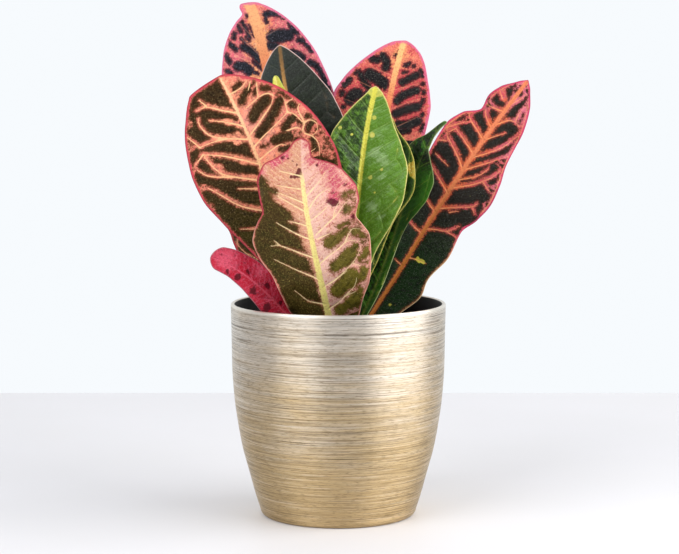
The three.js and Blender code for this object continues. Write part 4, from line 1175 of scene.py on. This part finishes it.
right_look = plain_look | {
    "flesh_inner": "#cc5c3a", "flesh_outer": "#c04a54", "flesh_change": (0.1, 0.5),
    "flush": "#d46c84", "flush_share": 0.25, "fleck": "#f0a078", "freckle": "#7e241c",
    "freckle_share": 0.75,
    "dark_base": "#10280a", "dark_tip": "#1f1a16", "dark_change": (0.3, 0.6),
    "dark_sheen": "#080a06", "dark_glint": "#80847a", "dark_glint_share": 0.35, "halo": "#6e2c20",
    "ragged": 0.85, "soft": 0.45, "line": "#f2a068", "line_share": 0.6, "stain_and_painted_light": "#c4bc48",
    "rib_base": "#b26c30", "rib_tip": "#dc8058", "rib_width": (1.1, 1.2),
    "margin": "#c23e62", "margin_low": "#8c6a44", "margin_width": 0.9, "hem": "#a02c50",
    "hem_low": "#d8c096",
    "under": "#4e3426", "under_flesh": "#94503c", "under_rib": "#cf8a58",
    "shine": 0.06,
}
new_leaf(leaf_right, leaf_skin("leaf_right_skin", right_look))

leaf_back_right = plain_leaf | {
    "node": "leaf_back_right", "slot": "leaf_red_veined", "seed": 13,
    "foot": (76, 102.5), "rib": ((20, 33, 162), (29, 41, 213), (39, 45, 264.6)),
    "fold": (5, 5),
    "outline": (
        (0.14, 6, 7), (0.3, 18, 16), (0.5, 28, 15), (0.65, 34, 20.5), (0.77, 34.8, 21.8),
        (0.83, 31, 19.9), (0.88, 25.6, 17.2), (0.93, 18.5, 14), (0.965, 12.5, 10.2), (0.985, 8, 6.2),
        (1, 4, 3),
    ),
    "band": (1.3, 1.1), "rim_band": 0.8, "patch_round": 1.2,
    "laterals": (
        ((0.2, 0.5, 0.7), (0.3, 0.5, 0.7), (0.4, 0.5, 0.7), (0.5, 0.5, 0.7), (0.6, 0.5, 0.7)),
        ((0.2, 0.5, 0.7), (0.3, 0.5, 0.7), (0.4, 0.5, 0.7), (0.5, 0.5, 0.8), (0.57, 0.45, 0.8)),
    ),
    "veins": (
        ((1, 1), (0.62, 0), (0.695, 20)), ((1, 1), (0.67, 0), (0.745, 17)),
        ((1, 1), (0.755, 0), (0.81, 15)), ((1, 1), (0.825, 0), (0.865, 13)),
        ((1, 1), (0.725, 0), (0.76, -29)), ((1, 1), (0.795, 0), (0.835, -25)),
        ((1, 1), (0.87, 0), (0.885, -15), (0.89, -23)),
    ),
    "heart": ((0, 1, 1), (0.5, 2, 1.5), (0.63, 3, 3), (0.68, 60, 60), (1, 60, 60)),
    "blots": (
        (1.1, (0.915, 3), (0.925, 5)), (0.9, (0.92, 7), (0.92, 8)), (0.7, (0.89, 2.5), (0.895, 4.5)),
        (2.0, (0.855, 3), (0.87, 6), (0.89, 10.5)), (2.3, (0.785, 2), (0.81, 5), (0.835, 12)),
        (2.4, (0.735, 2.5), (0.755, 7.5), (0.775, 14)), (2.6, (0.695, 5), (0.7, 10.5), (0.72, 15.5)),
        (1.8, (0.67, 6), (0.68, 11)), (1.0, (0.91, 12), (0.89, 14)), (0.9, (0.865, 15), (0.86, 15)),
        (1.0, (0.835, 16), (0.83, 16.5)), (1.0, (0.805, 16.5), (0.78, 16)),
        (1.1, (0.75, 17.5), (0.745, 17.5)), (1.0, (0.71, 19), (0.685, 18.5)),
        (2.0, (0.915, -16.5), (0.915, -13.5)), (2.3, (0.93, -11), (0.915, -8), (0.895, -8)),
        (1.9, (0.855, -21.5), (0.83, -18.5), (0.815, -16)),
        (3.4, (0.86, -16.5), (0.855, -12.5), (0.84, -8)), (1.5, (0.825, -6.5), (0.825, -6.5)),
        (1.0, (0.855, -24.5), (0.865, -22.5)), (1.5, (0.83, -27), (0.805, -29.5)),
        (1.4, (0.78, -30), (0.775, -30)), (3.2, (0.76, -25), (0.78, -23.5), (0.785, -21)),
        (1.3, (0.73, -28), (0.73, -28)), (0.8, (0.945, -4), (0.945, -3)), (2.4, (0.75, -8), (0.79, -15)),
        (2.4, (0.69, -8), (0.72, -20)),
    ),
    "flushes": (
        (0.86, 6, 12, 0.9), (0.75, 10, 14, 1.0), (0.83, -15, 12, 0.9), (0.76, -28, 10, 1.0),
        (0.985, 6, 3.5, 1.0),
    ),
    "stains_and_painted_light": ((0.96, -3, 0.9, 0.7),),
    "rib_colour_shift": ((0, 0), (0.6, 0), (0.75, -2.6), (0.95, -1.6), (1, -1)),
}
back_right_look = plain_look | {
    "flesh_inner": "#ec9a66", "flesh_outer": "#dc6c60", "flush": "#c8424e", "flush_share": 0.15,
    "fleck": "#f8d08c", "fleck_share": 0.4, "freckle": "#9c2c2c", "freckle_share": 0.75,
    "dark_base": "#191914", "dark_tip": "#181518", "dark_sheen": "#0c0b0d", "dark_glint": "#84847a",
    "halo": "#8a2c34", "halo_share": 0.4,
    "ragged": 0.75, "soft": 0.45, "spread": 0.5, "line": "#ee9a7a", "line_share": 0.25,
    "rib_base": "#df6f4c", "rib_tip": "#f4bc7c", "rib_width": (1.5, 1.6), "rib_change": (0.7, 0.95),
    "margin": "#d46484", "margin_width": 1.4, "hem": "#c8708c", "under": "#6a4038",
    "under_flesh": "#b06a5c", "under_rib": "#dc9a70",
    "shine": 0.09,
}
new_leaf(leaf_back_right, leaf_skin("leaf_back_right_skin", back_right_look))

leaf_back_left = plain_leaf | {
    "node": "leaf_back_left", "slot": "leaf_red_veined", "seed": 17,
    "foot": (118, 99), "rib": ((-23, 41, 170), (-40, 54, 229), (-56, 58, 286)),
    "face": ((0.1, -1, 0.1), (-0.3, -1, 0.2)), "fold": (12, 5),
    "outline": (
        (0.14, 6, 7), (0.3, 15, 18), (0.5, 24, 31), (0.64, 26, 38.4), (0.76, 23.8, 36),
        (0.86, 18.2, 30.2), (0.92, 11.5, 23.6), (0.95, 5.8, 18.8), (0.97, 1.2, 14.8), (0.985, 1.7, 11),
        (1, 2, 8),
    ),
    "band": (1.3, 1.1), "rim_band": 0.7, "patch_round": 1.4,
    "laterals": (
        ((0.2, 0.8, 0.7), (0.3, 0.8, 0.7), (0.4, 0.9, 0.7), (0.5, 1.0, 0.7), (0.6, 1.1, 0.7)),
        ((0.2, 0.3, 0.7), (0.3, 0.3, 0.7), (0.4, 0.3, 0.7), (0.5, 0.3, 0.7), (0.6, 0.25, 0.7)),
    ),
    "veins": (
        ((1, 1), (0.76, 2), (0.83, -8), (0.86, -13)), ((1, 1), (0.82, 3), (0.9, -6)),
        ((1, 1), (0.86, 4), (0.93, -3)), ((1, 1), (0.79, 8), (0.8, 24)), ((1, 1), (0.88, 9), (0.895, 22)),
    ),
    "heart": ((0, 1, 1), (0.5, 1.5, 2), (0.66, 3, 5), (0.72, 60, 60), (1, 60, 60)),
    "blots": (
        (1.9, (0.945, 12.5), (0.945, 16), (0.935, 20)), (1.3, (0.94, 20.5), (0.92, 22.5)),
        (1.2, (0.94, 12), (0.92, 12)), (4.0, (0.87, 13), (0.865, 19)), (3.5, (0.865, 19.5), (0.86, 22.5)),
        (2.3, (0.87, 25), (0.865, 28.5)), (1.8, (0.895, 25.5), (0.875, 26)),
        (2.5, (0.845, 10), (0.84, 13)), (1.7, (0.835, 27.5), (0.83, 29.5)),
        (1.6, (0.82, 30.5), (0.805, 32), (0.79, 33)), (1.9, (0.805, 21.5), (0.795, 24.5), (0.775, 27)),
        (2.0, (0.755, 30), (0.74, 33), (0.72, 34.5)), (1.8, (0.72, 34.5), (0.695, 35), (0.66, 36)),
        (0.8, (0.96, 1.5), (0.955, 1)), (0.45, (0.93, 1), (0.89, 2)),
        (1.2, (0.945, -2.5), (0.91, -1), (0.89, -0.5)), (1.2, (0.935, -5.5), (0.915, -4.5)),
        (1.3, (0.915, -8.5), (0.9, -9.5)), (0.9, (0.895, -5.5), (0.875, -4)),
        (0.9, (0.895, -2.5), (0.88, -1.5)), (1.6, (0.885, -12.5), (0.865, -10)),
        (2.4, (0.865, -5.5), (0.845, -1.5), (0.81, 1.5)), (1.6, (0.855, -17), (0.83, -15.5)),
        (1.3, (0.805, -18.5), (0.795, -16.5)), (3.0, (0.81, -11.5), (0.805, -8), (0.785, -6)),
        (1.2, (0.81, -2), (0.78, 1.5)), (1.1, (0.78, -4.5), (0.77, -2)), (2.4, (0.8, 12), (0.8, 17)),
        (2.4, (0.75, 14), (0.74, 24)), (2.4, (0.69, 12), (0.68, 30)), (2.2, (0.74, -12), (0.72, -20)),
        (2.2, (0.7, -6), (0.68, -14)),
    ),
    "flushes": (
        (0.9, 24, 9, 0.8), (0.82, 30, 10, 0.9), (0.72, 32, 12, 0.9), (0.92, -6, 7, 0.8),
        (0.84, -13, 9, 0.8), (0.985, 0, 5, 0.9), (0.78, -12, 8, 0.6),
    ),
    "rib_colour_shift": ((0, 0), (0.65, 0), (0.8, 4.8), (0.95, 5.6), (1, 4)),
}
back_left_look = plain_look | {
    "flesh_inner": "#f0a66c", "flesh_outer": "#e06060", "flesh_change": (0.1, 0.75),
    "flush": "#dc6478", "flush_share": 0.15, "fleck": "#fbd8a4", "freckle": "#ac3e38",
    "freckle_share": 0.7,
    "dark_base": "#1a181c", "dark_tip": "#191a20", "dark_sheen": "#0c0c10", "dark_glint": "#84869a",
    "halo": "#94404a", "halo_share": 0.4,
    "ragged": 0.75, "soft": 0.45, "spread": 0.35, "line": "#f4b09a", "line_share": 0.2,
    "rib_base": "#df7a50", "rib_tip": "#f2ae78", "rib_width": (1.4, 3.2), "rib_change": (0.7, 0.95),
    "margin": "#d8708c", "margin_width": 1.2, "hem": "#c8688a", "under": "#7a4c44",
    "under_flesh": "#bf7a68", "under_rib": "#dfa67c",
    "shine": 0.1,
}
new_leaf(leaf_back_left, leaf_skin("leaf_back_left_skin", back_left_look))


def plain_laterals(first, count, slope):
    """Veins at even shares from the first to near the tip, all with one slope."""
    return tuple((float(share), slope, 0.72) for share in np.linspace(first, 0.9, count))


rear_rule = plain_leaf | {
    "slot": "leaf_red_veined", "round_from": 0.96, "band": (0.9, 0.6), "rim_band": 1.0,
    "patch_round": 1.6,
    "laterals": (plain_laterals(0.14, 9, 0.6), plain_laterals(0.17, 9, 0.6)),
    "heart": ((0, 1, 1), (0.6, 1.6, 1.6), (1, 2.5, 2.5)),
}
rear_leaves = {
    "leaf_rear": {
        "seed": 19, "foot": (98, 95), "rib": ((-5, 52, 146), (-11, 78, 192), (-17, 94, 226)),
        "face": ((0, -0.7, 1), (0, -0.5, 1)), "fold": (12, 12), "wave": (2, 3, 0, 1),
        "outline": (
            (0.12, 6, 6), (0.3, 15, 15), (0.5, 23, 24), (0.66, 25, 24), (0.8, 20, 20), (0.9, 12, 11),
            (1, 4, 4),
        ),
    },
    "leaf_rear_right": {
        "seed": 21, "foot": (50, 89), "rib": ((30, 38, 128), (50, 64, 162), (62, 84, 186)),
        "face": ((-0.3, -0.7, 1), (-0.3, -0.5, 1)), "fold": (14, 14), "wave": (2, 3, 1, 2),
        "outline": (
            (0.12, 6, 6), (0.3, 14, 13), (0.5, 21, 20), (0.66, 22, 21), (0.8, 18, 17), (0.9, 11, 10),
            (1, 4, 4),
        ),
    },
    "leaf_rear_left": {
        "seed": 23, "foot": (142, 91, 0.9), "rib": ((-32, 36, 126), (-50, 62, 154), (-62, 82, 172)),
        "face": ((0.3, -0.7, 1), (0.3, -0.5, 1)), "fold": (14, 14), "wave": (2, 3, 2, 0),
        "outline": (
            (0.12, 6, 6), (0.3, 13, 14), (0.5, 20, 21), (0.66, 21, 22), (0.8, 17, 18), (0.9, 10, 11),
            (1, 4, 4),
        ),
    },
}
rear_skin = leaf_skin("leaf_rear_skin", left_look)
for node, values in rear_leaves.items():
    new_leaf(rear_rule | values | {"node": node}, rear_skin, HIDDEN_CELL)

# Green leaves. Younger blades that have hardly coloured: bright to dark green with a yellow midrib and a
# thin yellow margin, glossy, and one of them folded along its midrib.
green_rule = plain_leaf | {
    "slot": "leaf_green", "band": (-0.4, -0.6), "rim_band": 0.4, "patch_round": 0.6, "puff": 0.7,
    "laterals": (plain_laterals(0.16, 8, 0.75), plain_laterals(0.19, 8, 0.75)),
}
green_leaves = {
    "leaf_green": {
        "seed": 25, "foot": (-25, 106), "rib": ((9, 2, 151), (13, 6, 195), (21, 4, 239)),
        "fold": (15, 15),
        "outline": (
            (0.12, 6, 6), (0.3, 14, 12), (0.44, 19, 21), (0.55, 21, 26.2), (0.66, 22, 27),
            (0.78, 19.5, 21.5), (0.86, 14.2, 15.4), (0.93, 8, 10.5), (0.965, 4.5, 7.2), (1, 2, 2),
        ),
        "heart": ((0, 0.6, 0.6), (0.9, 1.0, 1.0), (0.955, 1.4, 1.4), (0.97, 5, 5), (1, 8, 8)),
        "spots": (
            (0.8, 4, 1.3, -9), (0.79, -8, 1.1, -9), (0.875, 3.5, 1.2, -7), (0.62, 6, 0.9, -7),
            (0.81, -15, 0.6, -7), (0.66, 12, 0.6, -6), (0.56, 9, 0.6, -6),
        ),
        # The pale streaky stains on this leaf's right half are painted glints.
        "stains_and_painted_light": (
            (0.73, 7, 4.5, 0.7), (0.7, 13, 4.5, 0.7), (0.8, 9, 3.5, 0.6), (0.62, 13, 4, 0.6),
            (0.57, 7, 4, 0.65), (0.5, 8, 4.5, 0.65), (0.46, 14, 4, 0.6), (0.36, 7, 3, 0.5),
            (0.66, -6, 3, 0.5), (0.78, -9, 3, 0.5),
        ),
    },
    "leaf_behind": {
        "seed": 27, "foot": (0, 104), "rib": ((13, 7, 147), (21, 9, 185), (29, 9, 222)),
        "fold": (3, 6), "wave": (0.8, 2, 0, 1),
        "outline": (
            (0.15, 5, 5), (0.3, 10, 10), (0.5, 16, 14.5), (0.68, 18, 22), (0.8, 15, 19.2),
            (0.88, 11, 14.2), (0.95, 5, 5.5), (1, 1.5, 1.5),
        ),
        "heart": ((0, 0.6, 0.6), (0.9, 1.2, 1.2), (1, 3, 3)),
        "spots": ((0.78, 18.5, 2.4, -8), (0.75, 20, 1.6, -7)),
    },
    "leaf_folded": {
        "seed": 29, "foot": (31, 97), "rib": ((26.5, 14, 140), (43.3, 19.3, 189), (61, 18, 219)),
        "face": ((-0.3, -1, 0.1), (-0.3, -1, 0.2)), "fold": (0, 35), "wave": (1.5, 2, 0, 1),
        "outline": (
            (0.1, 4, 3), (0.22, 9, 4.5), (0.39, 12.5, 5.2), (0.48, 13, 8.4), (0.54, 13, 14),
            (0.6, 13, 18.2), (0.65, 12.5, 18.2), (0.7, 12, 14.4), (0.76, 10.5, 6.4), (0.8, 9, 1.6),
            (0.86, 4.2, 1.2), (0.92, 2.3, 1.2), (1, 1.2, 1.2),
        ),
        "rim_band": -1.0, "puff": 0.25,
        "heart": ((0, 0.4, 0.4), (0.7, 0.4, 0.4), (0.8, -2, -2), (1, -2, -2)),
    },
    "leaf_low": {
        "seed": 31, "foot": (84, 86), "rib": ((3, 44, 118), (4, 78, 133), (4, 106, 133)),
        "face": ((0, -0.3, 1), (0, 0, 1)), "fold": (12, 12), "wave": (1.5, 3, 0, 1), "round_from": 0.96,
        "outline": (
            (0.12, 6, 6), (0.3, 13, 14), (0.5, 19, 20), (0.66, 20, 20), (0.8, 17, 16), (0.9, 10, 10),
            (1, 3, 3),
        ),
        "heart": ((0, 0.8, 0.8), (0.9, 1.4, 1.4), (1, 3, 3)),
    },
}
# The green leaf's darker left half is painted shade, and its pale stains are painted glints.
green_look = plain_look | {
    "flesh_inner": "#c2c04c", "flesh_outer": "#c3c052", "flush": "#d8cf66", "flush_share": 0.3,
    "fleck": "#dcd884", "freckle": "#8f9c34", "freckle_share": 0.3,
    "dark_base": "#4c7414", "dark_tip": "#568020", "dark_left": "#142c02", "dark_left_share": 0.92,
    "dark_sheen": "#689630", "dark_glint": "#b0ca88", "dark_glint_share": 0.25, "halo": "#7c9830",
    "halo_share": 0.3,
    "ragged": 0.3, "soft": 0.4, "side_veins": (0.8, 3.4), "ripple_pitch": 0.24,
    "line": "#8db35a", "line_share": 0.25, "stain_and_painted_light": "#a8c48c", "stain_and_painted_light_share": 0.45, "glint_streaks": 1.0,
    "rib_base": "#8fa83e", "rib_tip": "#dcd552", "rib_width": (1.1, 1.5), "rib_change": (0.35, 0.7),
    "margin": "#c6c366", "margin_width": 0.45, "hem": "#d2c87a", "under": "#6f8f4a",
    "under_flesh": "#a8ae5a", "under_rib": "#c3c878",
    "roughness": 0.22, "shine": 0.27, "grain": 0.15, "ripple": 1.0, "bump": 0.9,
}
deep_look = green_look | {
    "flesh_inner": "#b0a03a", "flesh_outer": "#b8942e", "flush": "#c4a03a",
    "dark_base": "#14280a", "dark_tip": "#1c340e", "dark_left_share": 0.0,
    "dark_sheen": "#25420f", "dark_glint": "#56752e", "line_share": 0.15,
    "rib_base": "#55702a", "rib_tip": "#98983a", "margin": "#a49a44", "hem": "#b4aa58",
    "under": "#4f6a34", "shine": 0.15,
}
# The folded leaf's near-black left half and tip are painted shade.
folded_look = green_look | {
    "dark_base": "#2a5a10", "dark_tip": "#10180a", "dark_left": "#0c1a06", "dark_left_share": 0.95,
    "dark_change": (0.66, 0.74),
    "dark_sheen": "#387018", "dark_glint": "#7aa24c", "line_share": 0.1,
    "rib_base": "#3f5a24", "rib_tip": "#46522c", "rib_width": (0.5, 0.2),
    "margin_share": 0.12, "hem": "#8e9a68", "hem_low": "#b8c488", "under": "#22360f",
    "under_flesh": "#3a5020", "under_rib": "#6c7c44",
    "roughness": 0.3, "shine": 0.15,
}
deep_skin = leaf_skin("leaf_deep_green_skin", deep_look)
green_skins = {
    "leaf_green": leaf_skin("leaf_green_skin", green_look), "leaf_behind": deep_skin,
    "leaf_folded": leaf_skin("leaf_folded_skin", folded_look), "leaf_low": deep_skin,
}
for node, values in green_leaves.items():
    new_leaf(green_rule | values | {"node": node}, green_skins[node],
             HIDDEN_CELL if node == "leaf_low" else TOP_CELL)

# Youngest leaf. Newly unrolled at the top of the stem, narrow, soft and yellow-green all over.
leaf_young = plain_leaf | {
    "node": "leaf_young", "slot": "leaf_young", "seed": 33, "base": (-0.5, 0.3, 113),
    "rib": ((-14, 5, 161), (-25, 6, 204), (-35, 6, 245)),
    "fold": (25, 25), "wave": (0, 2, 0, 1),
    "outline": ((0.2, 5, 5), (0.5, 10, 10), (0.75, 9, 9), (0.9, 5, 5), (1, 1.5, 1.5)),
    "band": (0.6, 0.4), "rim_band": 0.4, "patch_round": 1.0, "puff": 0.2,
    "laterals": (plain_laterals(0.16, 8, 0.9), plain_laterals(0.19, 8, 0.9)),
    "heart": ((0, 1, 1), (0.7, 2, 2), (0.9, 4, 4), (1, 6, 6)),
}
young_look = green_look | {
    "flesh_inner": "#e4d85a", "flesh_outer": "#d8d454", "flush": "#eadf70", "fleck": "#f0eb9a",
    "freckle": "#c2bf44",
    "dark_base": "#a9bf3e", "dark_tip": "#c3cd48", "dark_left_share": 0.0,
    "dark_sheen": "#b4c644", "dark_glint": "#d8dc70", "halo": "#c8d04c",
    "rib_base": "#c8cc58", "rib_tip": "#ece27c", "rib_width": (1.0, 0.6),
    "margin": "#cfd05c", "hem": "#b8bf4a",
}
new_leaf(leaf_young, leaf_skin("leaf_young_skin", young_look))

# Dark leaf. A mature blade gone almost black-green, with an amber midrib and a hair-thin pale pink margin.
leaf_dark = plain_leaf | {
    "node": "leaf_dark", "slot": "leaf_dark", "seed": 35, "foot": (132, 106),
    "rib": ((-14, 20, 166), (-25, 24, 214), (-33, 26, 262)),
    "face": ((-0.1, -1, 0.1), (-0.3, -1, 0.2)), "fold": (12, 5), "round_from": 0.98,
    "outline": (
        (0.14, 6, 7), (0.3, 14, 17), (0.5, 21, 28), (0.66, 22, 30), (0.77, 20, 26.8), (0.87, 14.5, 19.4),
        (0.94, 9, 11.7), (1, 2, 2),
    ),
    "band": (-0.8, -0.9), "rim_band": 0.1, "patch_round": 0.8, "puff": 0.3,
    "laterals": (plain_laterals(0.2, 8, 0.7), plain_laterals(0.23, 8, 0.6)),
    "heart": ((0, 0.8, 0.8), (0.9, 1.0, 1.0), (1, 1.2, 1.2)),
}
dark_look = plain_look | {
    "flesh_inner": "#8a6a3a", "flesh_outer": "#4a4030", "flush": "#4a5a44", "flush_share": 0.5,
    "fleck": "#9a8460", "freckle": "#5e4526",
    "dark_base": "#181a10", "dark_tip": "#1e221c", "dark_left": "#283230", "dark_left_share": 0.6,
    "dark_sheen": "#2c3428", "dark_glint": "#6a746c", "halo": "#4a4030",
    "ragged": 0.3, "soft": 0.4, "line": "#34403a", "line_share": 0.25,
    "rib_base": "#c08e50", "rib_tip": "#7c5c34", "rib_width": (1.6, 0.9), "rib_change": (0.82, 0.97),
    "margin": "#6c5a4c", "margin_width": 0.2, "margin_share": 0.5, "hem": "#e6c4bc",
    "under": "#4c4632", "under_flesh": "#6a6040", "under_rib": "#b09a64",
    "roughness": 0.36, "shine": 0.25,
}
new_leaf(leaf_dark, leaf_skin("leaf_dark_skin", dark_look))

# Stage. A plain white table in front of a white wall, lit by a pale room, by a large soft window from the
# right and by a weaker one from the left. The camera is level with the leaves and looks a little down.
CAMERA_BACK = 1.115
CAMERA_HEIGHT = 0.252
CAMERA_DOWN = 6.08
CAMERA_LENS = 106.57
CAMERA_SHIFT = 0.0018
TABLE_LEFT, TABLE_RIGHT = -1.2, 1.2
TABLE_FRONT, TABLE_BACK = -0.80, 0.41


def table_top():
    """White laminate with a hardly seen unevenness."""
    top = new_material("table_top")
    uneven = top.noise(top.place(), 9.0, 2.0)
    top.surface(Base_Color=top.blend(paint("#d9d8d9"), paint("#dedde0"), uneven), Roughness=0.55)
    return top.owner


corners = np.array([(TABLE_LEFT, TABLE_FRONT, 0), (TABLE_RIGHT, TABLE_FRONT, 0),
                    (TABLE_RIGHT, TABLE_BACK, 0), (TABLE_LEFT, TABLE_BACK, 0)]) / MM
table = new_mesh("table", corners, [np.array([[0, 1, 2, 3]])], table_top())

world = bpy.data.worlds.new("pale_room")
bpy.context.scene.world = world
room = Finish(world)
direction = room.node("ShaderNodeTexCoord", output="Generated")
towards_wall = room.parts(direction)[1].rise(0.2, 0.85)
light = room.blend((0.62, 0.63, 0.66, 1), (0.93, 0.962, 0.99, 1), towards_wall)
room.connect(world.node_tree.nodes["Background"], {"Color": light, "Strength": 1.0})


def soft_window(name, place, towards, size, watts, colour):
    lamp = bpy.data.lights.new(name, "AREA")
    lamp.shape = "RECTANGLE"
    lamp.size, lamp.size_y = size
    lamp.energy = watts
    lamp.color = colour
    window = bpy.data.objects.new(name, lamp)
    window.location = place
    aim = np.array(towards) - np.array(place)
    window.rotation_euler = Vector(aim).to_track_quat("-Z", "Y").to_euler()
    bpy.context.scene.collection.objects.link(window)


soft_window("right_window", (1.35, -0.36, 0.75), (0, 0, 0.12), (2.0, 1.0), 30, (1.0, 0.995, 0.985))
soft_window("left_window", (-0.98, -0.98, 1.02), (0, 0, 0.14), (1.2, 0.9), 17, (1.0, 1.0, 1.0))

camera = bpy.data.objects.new("camera", bpy.data.cameras.new("camera"))
camera.location = (0, -CAMERA_BACK, CAMERA_HEIGHT)
camera.rotation_euler = (math.radians(90 - CAMERA_DOWN), 0, 0)
camera.data.lens = CAMERA_LENS
camera.data.shift_x = CAMERA_SHIFT
bpy.context.scene.collection.objects.link(camera)
bpy.context.scene.camera = camera
bpy.context.scene.view_settings.view_transform = "Standard"
